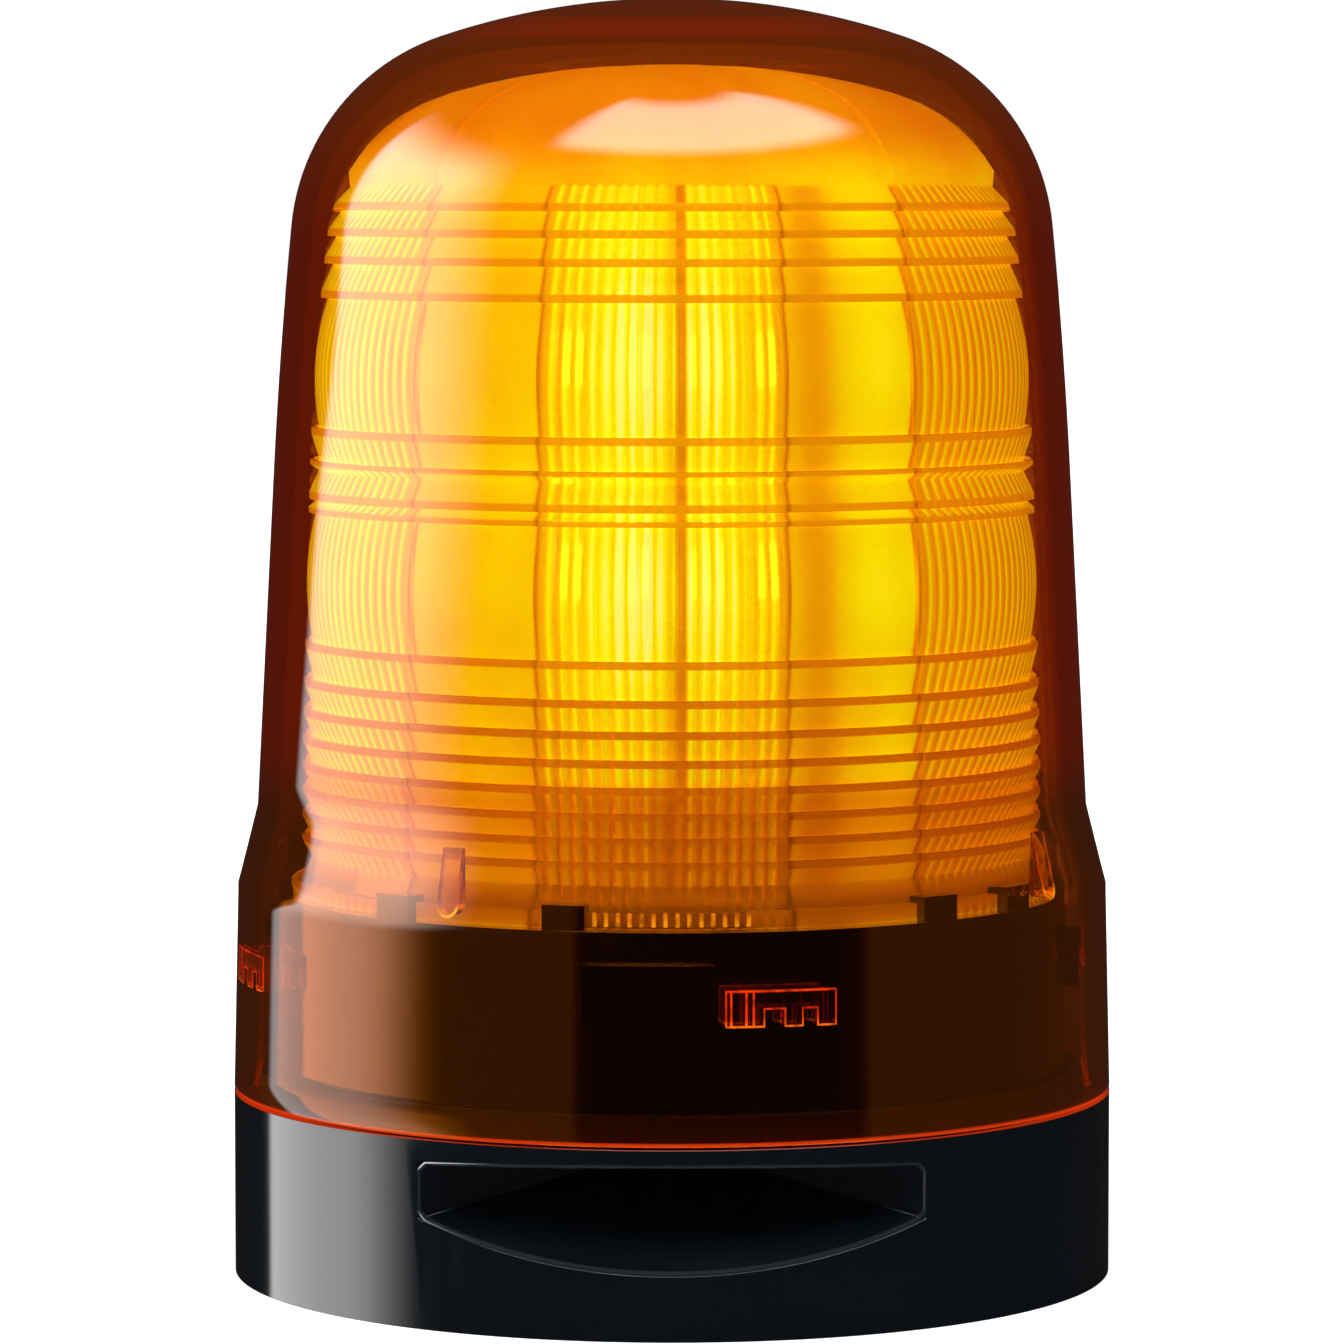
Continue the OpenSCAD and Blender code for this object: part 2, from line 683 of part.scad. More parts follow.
buzzer_h = 7;
buzzer_ledge = 2.5;
module buzzer_holder() {
    color([0.12, 0.12, 0.13]) difference() {
        translate([0, buzzer_y, base_h]) union() {
            cylinder(r = buzzer_r, h = buzzer_h);
            for (s = [-1, 1]) hull() {
                translate([s * buzzer_screw[0], 3.2, 0]) cylinder(r = 2.9, h = 2, $fn = 32);
                translate([s * 10, 0, 0]) cylinder(r = 3, h = 2, $fn = 32);
            }
        }
        translate([0, buzzer_y, base_h - 1]) cylinder(r = buzzer_r - 2.5, h = buzzer_h + 2);
        translate([0, buzzer_y, base_h + buzzer_ledge]) cylinder(r = buzzer_r - 1.3, h = buzzer_h);
        for (s = [-1, 1]) translate([s * buzzer_screw[0], buzzer_screw[1], base_h - 1])
            cylinder(r = 1.5, h = 5);
    }
}

module buzzer_disc() {
    color([0.85, 0.7, 0.35]) translate([0, buzzer_y, base_h + buzzer_ledge]) {
        cylinder(r = buzzer_r - 1.4, h = 0.3);
        translate([0, 0, 0.2]) cylinder(r = buzzer_r - 4.8, h = 0.4);
    }
}

module buzzer_retainer() {
    color([0.3, 0.3, 0.32]) translate([0, buzzer_y, 0])
        ring(buzzer_r - 3.4, buzzer_r - 1.4, base_h + buzzer_ledge + 0.3, base_h + buzzer_h - 0.4);
}

module sound_screen() {
    color([0.4, 0.4, 0.4]) translate([0, buzzer_y, base_h]) cylinder(r = buzzer_r - 2.7, h = 0.4);
}

module buzzer_screws() {
    color(steel) for (s = [-1, 1]) translate([s * buzzer_screw[0], buzzer_screw[1], 0])
        screw(base_h + 2, 2.3, 1.5, 1, deck_z - 3.5);
}

// ---- switches ----

lever = [1.2, 1.9, 1.6];
slot_depth = 1.5;
lever_z = knob_z - (lever_travel + lever[2]) / 2;
dip_mid = (window_x[0] + window_x[1]) / 2;
function lever_x(i) = dip_mid + (i - (lever_count + 1) / 2) * lever_pitch;

module switch_board() {
    color(board_green) translate([-switch_board_w, switch_board_y - pcb_t, base_h + 3])
        cube([2 * switch_board_w, pcb_t, 12]);
}

module dip_housing() {
    color([0.15, 0.25, 0.6]) difference() {
        translate([window_x[0] + 0.4, switch_board_y, window_z[0] + 0.4])
            cube([window_x[1] - window_x[0] - 0.8, panel_y - switch_board_y,
                window_z[1] - window_z[0] - 0.8]);
        for (i = [1:lever_count])
            translate([lever_x(i) - lever[0] / 2 - 0.15, panel_y - slot_depth, lever_z - 0.2])
                cube([lever[0] + 0.3, slot_depth + 1, lever[2] + lever_travel + 0.4]);
    }
}

module dip_lever(i) {
    color([0.95, 0.95, 0.95]) translate([lever_x(i) - lever[0] / 2, panel_y - slot_depth + 0.12, lever_z])
        cube([lever[0], lever[1], lever[2]]);
}

knob_r = 3.1;
module volume_base() {
    color([0.12, 0.2, 0.45]) difference() {
        translate([knob_x - 3.6, switch_board_y, knob_z - 3.6]) cube([7.2, 2.4, 7.2]);
        translate([knob_x, switch_board_y + 0.8, knob_z]) rotate([-90, 0, 0]) cylinder(r = 1.68, h = 5);
    }
}

module volume_knob() {
    color([0.9, 0.9, 0.88]) difference() {
        translate([knob_x, 0, knob_z]) rotate([-90, 0, 0]) union() {
            translate([0, 0, switch_board_y + 1]) cylinder(r = 1.6, h = 3);
            translate([0, 0, switch_board_y + 2.7]) cylinder(r = knob_r, h = 1.8);
        }
        translate([knob_x - 4, switch_board_y + 3.7, knob_z - 0.4]) cube([8, 3, 0.8]);
    }
}

// ---- the assembly ----

base_case();
base_plate();
base_gasket();
threaded_inserts();
cable_grommet();
case_screws();
case_seal();
upper_case();
globe_seal();
globe();
inner_lens();
led_column();
column_cap();
column_screws();
cap_screw();
for (i = [1:sides]) led_board(i);
for (i = [1:sides]) led_chips(i);
main_board();
board_screws();
capacitors();
choke_coil();
driver_chips();
led_connector();
terminal_block();
terminal_screws();
buzzer_holder();
buzzer_disc();
buzzer_retainer();
sound_screen();
buzzer_screws();
switch_board();
dip_housing();
for (i = [1:lever_count]) dip_lever(i);
volume_base();
volume_knob();
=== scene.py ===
import bpy
import bmesh
import json
import math
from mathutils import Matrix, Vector


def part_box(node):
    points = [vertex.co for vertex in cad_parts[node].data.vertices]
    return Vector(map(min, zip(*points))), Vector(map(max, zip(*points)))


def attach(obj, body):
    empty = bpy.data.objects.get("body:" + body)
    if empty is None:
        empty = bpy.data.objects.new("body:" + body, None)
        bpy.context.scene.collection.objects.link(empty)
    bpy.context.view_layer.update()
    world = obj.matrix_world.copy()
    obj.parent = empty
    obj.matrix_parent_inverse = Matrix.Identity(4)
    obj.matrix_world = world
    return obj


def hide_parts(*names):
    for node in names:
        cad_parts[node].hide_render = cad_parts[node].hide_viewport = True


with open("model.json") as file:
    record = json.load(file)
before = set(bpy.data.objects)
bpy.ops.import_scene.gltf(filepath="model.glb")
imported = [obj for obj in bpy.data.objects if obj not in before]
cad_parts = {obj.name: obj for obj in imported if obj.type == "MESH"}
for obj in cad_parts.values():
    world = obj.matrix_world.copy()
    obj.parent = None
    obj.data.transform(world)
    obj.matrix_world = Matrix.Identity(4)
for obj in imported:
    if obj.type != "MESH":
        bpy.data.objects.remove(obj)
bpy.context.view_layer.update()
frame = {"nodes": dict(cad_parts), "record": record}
nodes = frame["nodes"]
mm = 0.001
scene = bpy.context.scene


# ---- places that the frame gives ----

globeLow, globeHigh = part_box("globe")
lensLow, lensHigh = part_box("inner_lens")
lampLow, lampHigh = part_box("led_chips_1")
lampMiddle = (lampLow.z + lampHigh.z) / 2
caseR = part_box("base_case")[1].x
bodyR = globeHigh.x - 5.1 * mm  # of the inner body behind the globe's skirt


# ---- shader maths ----

def socketOf(tree, value, target):
    if isinstance(value, Value):
        tree.links.new(value.socket, target)
    elif value is not None:
        target.default_value = value


class Value:
    # a socket that takes Python's operators and adds Math nodes for them
    def __init__(self, tree, socket):
        self.tree = tree
        self.socket = socket

    def maths(self, operation, *values, clamp=False):
        node = self.tree.nodes.new("ShaderNodeMath")
        node.operation = operation
        node.use_clamp = clamp
        for slot, value in zip(node.inputs, values):
            socketOf(self.tree, value, slot)
        return Value(self.tree, node.outputs[0])

    def __add__(self, other): return self.maths("ADD", self, other)
    def __sub__(self, other): return self.maths("SUBTRACT", self, other)
    def __rsub__(self, other): return self.maths("SUBTRACT", other, self)
    def __mul__(self, other): return self.maths("MULTIPLY", self, other)
    def __truediv__(self, other): return self.maths("DIVIDE", self, other)
    def __neg__(self): return self.maths("MULTIPLY", self, -1.0)
    def __abs__(self): return self.maths("ABSOLUTE", self)

    def clamped(self): return self.maths("ADD", self, 0.0, clamp=True)
    def wave(self): return self.maths("COSINE", self)
    def most(self, other): return self.maths("MAXIMUM", self, other)
    def wrapped(self, high, low): return self.maths("WRAP", self, high, low)

    # 0 below low, 1 above high, smooth between
    def rises(self, low, high):
        node = self.tree.nodes.new("ShaderNodeMapRange")
        node.interpolation_type = "SMOOTHSTEP"
        socketOf(self.tree, self, node.inputs["Value"])
        node.inputs["From Min"].default_value = low
        node.inputs["From Max"].default_value = high
        return Value(self.tree, node.outputs["Result"])

    # a soft hill of 1 at a place, of this half width
    def hill(self, place, half):
        near = (self - place) / half
        return self.maths("EXPONENT", -(near * near))

    # 1 between full and fade, 0 before start and after end
    def band(self, start, full, fade, end):
        return self.rises(start, full) * (1 - self.rises(fade, end))


class Nodes:
    # a shader node tree, with one method for any node
    def __init__(self, tree):
        self.tree = tree

    def node(self, kind, settings=None, stops=None, output=0, **values):
        made = self.tree.nodes.new("ShaderNode" + kind)
        for key, setting in (settings or {}).items():
            setattr(made, key, setting)
        if stops:
            ramp = made.color_ramp
            while len(ramp.elements) < len(stops):
                ramp.elements.new(0.5)
            for element, (place, colour) in zip(ramp.elements, stops):
                element.position = place
                element.color = (*colour, 1)
        for key, value in values.items():
            byNumber = key[0] == "i" and key[1:].isdigit()
            socketOf(self.tree, value, made.inputs[int(key[1:]) if byNumber else key])
        return Value(self.tree, made.outputs[output])

    # x, y and z of a vector
    def parts(self, vector):
        made = self.tree.nodes.new("ShaderNodeSeparateXYZ")
        self.tree.links.new(vector.socket, made.inputs[0])
        return [Value(self.tree, out) for out in made.outputs]

    # degrees round the beacon from its front, towards +X
    def angle(self, x, y):
        return self.node("Math", {"operation": "ARCTAN2"}, i0=x, i1=-y) * (180 / math.pi)


class Shader(Nodes):
    # one material and its main shader
    def __init__(self, name):
        self.material = bpy.data.materials.new(name)
        self.material.use_nodes = True
        super().__init__(self.material.node_tree)
        self.main = self.tree.nodes["Principled BSDF"]
        self.output = self.tree.nodes["Material Output"]

    def set(self, **values):
        for key, value in values.items():
            slot = self.main.inputs[key.replace("_", " ")]
            if isinstance(value, tuple) and len(value) == 3:
                value = (*value, 1)
            socketOf(self.tree, value, slot)

    # the object's own x, y and z, in metres
    def place(self):
        return self.parts(self.node("TexCoord", output="Object"))

    # a spot's angle round the beacon and its height
    def turn(self):
        x, y, z = self.place()
        return self.angle(x, y), z

    def noise(self, scale, detail=3.0, rough=0.5):
        where = self.node("TexCoord", output="Object")
        return self.node("TexNoise", Vector=where, Scale=scale, Detail=detail, Roughness=rough)

    def bump(self, height, strength, distance):
        made = self.tree.nodes.new("ShaderNodeBump")
        made.inputs["Strength"].default_value = strength
        made.inputs["Distance"].default_value = distance
        socketOf(self.tree, height, made.inputs["Height"])
        self.tree.links.new(made.outputs[0], self.main.inputs["Normal"])

    def absorb(self, colour, density):
        made = self.tree.nodes.new("ShaderNodeVolumeAbsorption")
        made.inputs["Color"].default_value = (*colour, 1)
        made.inputs["Density"].default_value = density
        self.tree.links.new(made.outputs[0], self.output.inputs["Volume"])

    def mixed(self, mask, first, second):
        made = self.tree.nodes.new("ShaderNodeMix")
        made.data_type = "RGBA"
        socketOf(self.tree, mask, made.inputs[0])
        for slot, colour in ((made.inputs[6], first), (made.inputs[7], second)):
            socketOf(self.tree, (*colour, 1) if isinstance(colour, tuple) else colour, slot)
        return Value(self.tree, made.outputs[2])


# ---- materials ----

amber = {
    "globeTint": (0.983, 0.72, 0.01),   # what the cover's plastic lets through
    "globeDensity": 960.0,
    "footGlowFade": (0.25 * mm, 0.6 * mm),  # painted red glow over the cover's foot
    "domeGlowFade": (30 * mm, 4 * mm),      # painted glow under the cover's apex
    # heights over which the wall's painted glow rises
    "wallGlowFade": (52 * mm, 62 * mm),
    "noGlowTurn": 6.5,                    # middle of the skirt's part without painted glow, and its half width; beside it the skirt has a painted brown glow
    "noGlowHalf": 18.0,
    "noGlowEdge": 1.5,
    "lensTint": (0.99, 0.86, 0.2),
    "lensDensity": 260.0,
}

# where the painted glow of the lamps' light lies on the lens and the boards
lamps = {
    "litTurn": -1.5,          # middle of the lit sector
    "litHalf": 18.5,
    "litEdge": 0.6,
    "rows": ((lampMiddle - 12 * mm, 6.5 * mm), (lampMiddle + 13 * mm, 7.5 * mm)),  # height and half width
    "overFoot": ((56.5 * mm, 60 * mm, 0.75), (60 * mm, 74 * mm, 0.25)),  # each step's start, end and share of the painted glow
    "glow": 1.42,
    "gapTurn": 1.3,           # painted dark line in the glow between the two lamps of a row
    "gapHalf": 1.1,
    "hotSpots": ((-4.6, 4.8, 1.0), (6.6, 3.0, 0.6)),  # turn, half width and share of each painted white-hot spot
}


# matt or satin plastic, metal and rubber, with a fine mottle in colour and roughness
def plainFinish(name, colour, rough, metal=0.0, mottle=0.12, grain=1400, bumps=0.15):
    s = Shader(name)
    soft = s.noise(grain)
    darker = tuple(c * (1 - mottle) for c in colour)
    lighter = tuple(min(1, c * (1 + mottle)) for c in colour)
    s.set(Base_Color=s.mixed(soft, darker, lighter), Roughness=soft * 0.12 + (rough - 0.06), Metallic=metal)
    s.bump(s.noise(grain * 2.4), bumps, 0.02 * mm)
    return s.material


# polished black plastic, between two tones
def glossBlack(name, darker, lighter, coat):
    s = Shader(name)
    cloud = s.noise(60, detail=2)
    s.set(Base_Color=s.mixed(cloud, darker, lighter), Roughness=cloud * 0.05 + 0.09, IOR=1.85,
        Coat_Weight=coat)
    s.bump(s.noise(2600, detail=2), 0.05, 0.01 * mm)
    return s.material


# clear amber, with a painted glow for the lamps' light held in its dome, its wall and its foot, and a painted
# brown glow on the skirt
def globePlastic():
    s = Shader("globeAmber")
    haze = s.noise(45, detail=2)
    turn, z = s.turn()
    # where the painted glow lies: the foot, the dome, and the skirt beside its part without glow
    foot = 1 - z.rises(*(globeLow.z + over for over in amber["footGlowFade"]))
    dome = z.rises(*(globeHigh.z - under for under in amber["domeGlowFade"]))
    beside = abs(turn - amber["noGlowTurn"]).rises(amber["noGlowHalf"], amber["noGlowHalf"] + amber["noGlowEdge"])
    skirt = s.mixed(beside, (0.001, 0.0001, 0.0), (0.014, 0.004, 0.0))
    wall = s.mixed(z.rises(*amber["wallGlowFade"]), skirt, (0.032, 0.0032, 0.0001))
    caughtGlow = s.mixed(dome, wall, (0.04, 0.0105, 0.0004))
    s.set(Base_Color=(1, 1, 1), Transmission_Weight=1.0, IOR=1.56, Roughness=haze * 0.012,
        Emission_Color=s.mixed(foot, caughtGlow, (0.62, 0.035, 0.003)), Emission_Strength=0.9)
    s.absorb(amber["globeTint"], amber["globeDensity"])
    return s.material


# moulded edges with a painted glow for the lamps' light they carry, brightest at their feet
def edgeLight(name, shaft, foot, low, high, strength):
    s = Shader(name)
    z = s.place()[2]
    uneven = s.noise(700, detail=2).rises(0.3, 0.62)
    glow = s.mixed(1 - z.rises(low, high), shaft, foot)
    s.set(Base_Color=(0.2, 0.04, 0.0), Roughness=0.25, Emission_Strength=strength,
        Emission_Color=s.mixed(uneven * 0.75 + 0.25, (0.03, 0.002, 0.0), glow))
    return s.material


lens = {
    "sectors": 6,
    "sectorTurn": -1.5,        # middle of the front ribbed sector
    "ribbedHalf": 18.9,
    "flutes": 18,              # in one ribbed sector
    "fluteDepth": 0.5 * mm,
    "plainStep": 0.35 * mm,    # how far a plain sector lies below a ribbed one
    "fadeRadius": 12 * mm,     # inside this radius the flutes and steps die out
    "samples": 4,              # points across one flute
    "gapSteps": 6,             # and across a plain sector
    "sectorEdge": 0.12,        # degrees between a ribbed sector and the plain one beside it
    "rimWidth": 0.8 * mm,      # strip on a prism's edge
    "rimStep": 0.14 * mm,
    "bow": 0.7,                # degrees by which a ribbed sector widens at a row of lamps
    "wall": 2.0 * mm,
    "prismDepth": 1.0 * mm,
    "cornerRadius": 20 * mm,
    "topRadius": 76 * mm,
    "sideRadius": 300 * mm,
    "sideTilt": 7.0,
    "draft": 1.8,
    "bulgeHalf": 7.2 * mm,
    "bulge": 0.8 * mm,
    "rowPitch": 24 * mm,
    "bulgeSteps": 6,
    "between": (0, 0.16, 0.48, 0.62, 1),  # prism edges between the two bulges, as shares
    "lowerCount": 8,           # prisms below the lower bulge
    "upperCount": 4,
    "upperPrisms": 12.4 * mm,  # height of the prisms over the upper bulge
    "flange": 1.9 * mm,
    "flangeInset": 1.6 * mm,
    "flangeCorner": 0.2 * mm,
    "flangeGap": 2.6 * mm,     # from the flange to the lowest prism
}
lensMiddle = (lensLow.z + lensHigh.z) / 2 + 0.6 * mm
bulgeRows = (lensMiddle - lens["rowPitch"] / 2, lensMiddle + lens["rowPitch"] / 2)
lensFoot = {
    "middle": -0.9,            # of the row of small cells, in degrees
    "half": 11.7,
    "cells": 14,
    "bar": 0.42 * mm,          # width of the bar with a painted glow between two cells
    "low": 0.35 * mm,          # over the lens's own foot
    "high": 1.75 * mm,
    "fade": (2.2 * mm, 2.5 * mm),
}
faceTop = bulgeRows[1] + lens["bulgeHalf"] + lens["upperPrisms"]
flutePitch = 2 * lens["ribbedHalf"] / lens["flutes"]
sectorPitch = 360 / lens["sectors"]


# how far a spot is inside the lit sector
def litSector(turn):
    return 1 - abs(turn - lamps["litTurn"]).rises(
        lamps["litHalf"] - lamps["litEdge"], lamps["litHalf"] + lamps["litEdge"])


# how near a height is to a row of lamps
def nearRows(z):
    low, high = (z.hill(*row) for row in lamps["rows"])
    return low.most(high)


# how far a height is over the foot, where the painted glow is dim
def overFoot(z):
    first, second = (z.rises(start, end) * share for start, end, share in lamps["overFoot"])
    return first + second


# the lens's glow is painted: emission that stands in for the lamps' light shining through it
def lensPlastic():
    s = Shader("lensAmber")
    turn, z = s.turn()
    rows, upright = nearRows(z), overFoot(z)
    face = 1 - z.rises(faceTop - 0.3 * mm, faceTop + 0.3 * mm)
    lit = litSector(turn) * face
    fromMiddle = (turn - lamps["litTurn"]).wrapped(sectorPitch / 2, -sectorPitch / 2)
    ribbed = (1 - abs(fromMiddle).rises(lens["ribbedHalf"] - 0.2, lens["ribbedHalf"] + 0.2)) * face
    flute = fromMiddle * (2 * math.pi / flutePitch)
    ridge = flute.wave() * 0.5 + 0.5
    fine = (flute * 2.0 + 1.1).wave() * 0.5 + 0.5
    where = s.node("CombineXYZ", X=turn * 0.62, Y=0.0, Z=z * 3)
    uneven = s.node("TexNoise", Vector=where, Scale=1.0, Detail=2.5, Roughness=0.75).rises(0.36, 0.64)
    stripe = ridge * (uneven * 0.8 + 0.2) + fine * uneven * 0.25
    left, right = (turn.hill(place, half) * share for place, half, share in lamps["hotSpots"])
    hot = (left + right) * rows
    gap = turn.hill(lamps["gapTurn"], lamps["gapHalf"])
    side = abs(fromMiddle).rises(7, 18.5)
    speckle = (s.noise(2600, detail=2) - 0.5) * 0.12
    # painted glow of the lit sector: yellow with brighter flutes, painted white highlights by the lamps,
    # brown and orange at its foot
    front = upright * 0.41 + 0.25 + stripe * 0.17 + hot * (stripe * 0.95 + 0.02) * upright
    front = front - gap * 0.34 * upright - side * 0.1 * upright + speckle * upright
    # painted glow of the other sectors, dimmer towards the foot and the back, brighter in the sectors beside
    # the lit one, with a painted darker patch just right of it
    drift = s.node("CombineXYZ", X=turn * 0.06, Y=0.0, Z=z * 45)
    cloud = s.node("TexNoise", Vector=drift, Scale=1.0, Detail=3.0)
    away = abs(turn).rises(62, 130)
    beside = turn.hill(33, 8) * 0.13 * (rows * 0.5 + 0.5) * upright
    shade = turn.hill(22.5, 3.5) * 0.26 * cloud * face
    plain = beside - shade + (cloud - 0.5) * 0.22 + speckle + 0.63
    fluted = ridge * 0.2 + fine * 0.05 + 0.43
    fluted = fluted + turn.hill(-62, 17) * 0.13
    other = (ribbed * fluted + (1 - ribbed) * plain) * (upright * 0.28 + 0.72) - away * 0.12
    level = front * lit + other * (1 - lit)
    # painted shade on narrow strips at the prisms' edges, each with a painted dark line, deeper near the foot
    rim = s.node("Attribute", {"attribute_name": "prismRim"}, output="Fac")
    strip = (rim * 2.0).clamped()
    deep = z.rises(62 * mm, 80 * mm) * 0.17 + lit * 0.03 + 0.28
    level = level * (1 - strip * 0.96) + strip * deep - (rim * 2.0 - 1).clamped() * 0.18
    # painted dark lines at the sectors' upright edges
    edge = (abs(fromMiddle) - lens["ribbedHalf"]).hill(0.05, 0.4) * face
    level = level - edge * 0.32
    # dark cells in the foot, under the lit sector, painted as a dimmer glow
    across = 1 - abs(turn - lensFoot["middle"]).rises(lensFoot["half"], lensFoot["half"] + 0.3)
    below = 1 - z.rises(*(lensLow.z + over for over in lensFoot["fade"]))
    level = level * (1 - across * below * 0.7)
    # the painted glow is dimmer in the dome
    dome = z.rises(faceTop, faceTop + 7 * mm)
    level = level * (1 - dome * 0.27)
    colour = s.node("ValToRGB", stops=[
        (0.0, (0.008, 0.001, 0.0)), (0.2, (0.06, 0.012, 0.0)), (0.4, (0.2, 0.078, 0.0)),
        (0.56, (0.33, 0.32, 0.0)), (0.74, (0.38, 0.86, 0.0)), (0.86, (0.5, 1.0, 0.16)),
        (1.0, (0.62, 1.0, 1.0))], Fac=level)
    outer = s.node("Attribute", {"attribute_name": "outerFace"}, output="Fac")
    glow = s.mixed(outer, (0.0, 0.0, 0.0), colour)
    s.set(Base_Color=(1, 0.9, 0.6), Transmission_Weight=0.7, IOR=1.5,
        Roughness=(1 - ribbed) * 0.22 + 0.08, Emission_Color=glow, Emission_Strength=lamps["glow"])
    s.absorb(amber["lensTint"], amber["lensDensity"])
    return s.material


# white board, with a painted glow round its own lamps where it faces the front
def lampBoardFinish():
    s = Shader("lampBoardWhite")
    turn, z = s.turn()
    lit, rows = litSector(turn), nearRows(z)
    tone = s.mixed(s.noise(900), (0.7, 0.68, 0.6), (0.85, 0.84, 0.78))
    glow = s.mixed((lit * (rows * 0.8 + 0.2) + 0.12).clamped(), (0.0, 0.0, 0.0), (1.0, 0.95, 0.2))
    s.set(Base_Color=tone, Roughness=0.5, Emission_Color=glow, Emission_Strength=0.22)
    return s.material


def lampFinish():
    s = Shader("lampDome")
    lit = litSector(s.turn()[0])
    glow = s.mixed((lit * 0.95 + 0.05).clamped(), (0.0, 0.0, 0.0), (1.0, 1.0, 0.35))
    s.set(Base_Color=(0.95, 0.85, 0.4), Roughness=0.2, Emission_Color=glow, Emission_Strength=2.4)
    return s.material


materials = {
    "caseBlack": glossBlack("caseBlack", (0.0022, 0.0036, 0.0056), (0.0032, 0.0052, 0.0078), coat=0.9),
    # the outlet's lip: the case's black plastic in lighter tones, a painted highlight on its rounded edge
    "lipBlack": glossBlack("lipBlack", (0.012, 0.015, 0.018), (0.02, 0.024, 0.028), coat=1.0),
    "lugLight": edgeLight("lugLight", shaft=(0.75, 0.05, 0.004), foot=(1.0, 0.24, 0.03),
        low=33.8 * mm, high=34.6 * mm, strength=1.3),
    "ribLight": edgeLight("ribLight", shaft=(0.3, 0.06, 0.002), foot=(1.0, 0.6, 0.04),
        low=45.0 * mm, high=46.3 * mm, strength=1.6),
    "cellLight": edgeLight("cellLight", shaft=(0.9, 0.4, 0.02), foot=(1.0, 0.55, 0.04),
        low=44.0 * mm, high=45.4 * mm, strength=1.0),
    "globeAmber": globePlastic(),
    "lensAmber": lensPlastic(),
    "lampBoard": lampBoardFinish(),
    "lampDome": lampFinish(),
    "rubber": plainFinish("sealRubber", (0.022, 0.021, 0.021), 0.62, grain=900, bumps=0.3),
    "brass": plainFinish("insertBrass", (0.78, 0.57, 0.25), 0.32, metal=1.0),
    "steel": plainFinish("zincSteel", (0.62, 0.63, 0.66), 0.3, metal=1.0, mottle=0.08),
    "column": plainFinish("columnMetal", (0.78, 0.78, 0.8), 0.34, metal=1.0, mottle=0.06),
    "white": plainFinish("whitePlastic", (0.78, 0.77, 0.73), 0.42),
    "board": plainFinish("boardGreen", (0.02, 0.13, 0.055), 0.35, grain=700),
    "capacitor": plainFinish("sleeveBlue", (0.03, 0.04, 0.13), 0.3),
    "copper": plainFinish("coilCopper", (0.42, 0.17, 0.06), 0.35, metal=0.6),
    "chip": plainFinish("chipBlack", (0.018, 0.018, 0.02), 0.5),
    "terminal": plainFinish("terminalGreen", (0.02, 0.17, 0.07), 0.42),
    "mesh": plainFinish("screenGrey", (0.1, 0.1, 0.1), 0.7, bumps=0.5),
    "blue": plainFinish("switchBlue", (0.015, 0.05, 0.26), 0.38),
}
for made in materials.values():
    made.cycles.emission_sampling = "NONE"  # their light is met by chance, which is much quicker here
print("materials made:", len(materials))


# ---- mesh helpers ----

def newPiece(name, mesh, material, body):
    piece = bpy.data.objects.new(name, mesh)
    scene.collection.objects.link(piece)
    mesh.materials.clear()
    mesh.materials.append(materials[material])
    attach(piece, body)
    return piece


def smoothed(mesh, angle):
    mesh.polygons.foreach_set("use_smooth", [True] * len(mesh.polygons))
    mesh.set_sharp_from_angle(angle=math.radians(angle))
    mesh.update()


# turns the faces outwards and smooths them, with edges past this angle left sharp
def finished(mesh, angle, weld=0.0):
    bm = bmesh.new()
    bm.from_mesh(mesh)
    if weld:
        bmesh.ops.remove_doubles(bm, verts=bm.verts, dist=weld)
    bmesh.ops.recalc_face_normals(bm, faces=bm.faces)
    bm.to_mesh(mesh)
    bm.free()
    smoothed(mesh, angle)


def onCylinder(radius, degrees, z):
    a = math.radians(degrees)
    return (radius * math.sin(a), -radius * math.cos(a), z)


def arcPoints(centre, radius, start, end, count):
    out = []
    for i in range(count + 1):
        a = math.radians(start + (end - start) * i / count)
        out.append((centre[0] + radius * math.cos(a), centre[1] + radius * math.sin(a)))
    return out


# points between two places, the first left out
def linePoints(start, end, count):
    return [(start[0] + (end[0] - start[0]) * i / count, start[1] + (end[1] - start[1]) * i / count)
        for i in range(1, count + 1)]


poleRadius = 1e-7


# faces between rings of points, the last ring joined to the first; a pole's ring repeats one point
def facesBetween(rings):
    faces = []
    for a, b in zip(rings, rings[1:] + rings[:1]):
        for j in range(len(a)):
            n = (j + 1) % len(a)
            face = [a[j], a[n], b[n], b[j]]
            face = [v for i, v in enumerate(face) if v not in face[:i]]
            if len(face) > 2:
                faces.append(face)
    return faces


# a closed loop of (radius, height) turned round the axis; a point at radius 0 is a pole
def turned(name, loop, count, smoothAngle):
    verts, rings = [], []
    for r, z in loop:
        if r < poleRadius:
            rings.append([len(verts)] * count)
            verts.append((0, 0, z))
            continue
        rings.append(list(range(len(verts), len(verts) + count)))
        verts += [onCylinder(r, 360 * j / count, z) for j in range(count)]
    mesh = bpy.data.meshes.new(name)
    mesh.from_pydata(verts, [], facesBetween(rings))
    finished(mesh, smoothAngle, weld=1e-7)
    return mesh


# ---- geometry nodes ----

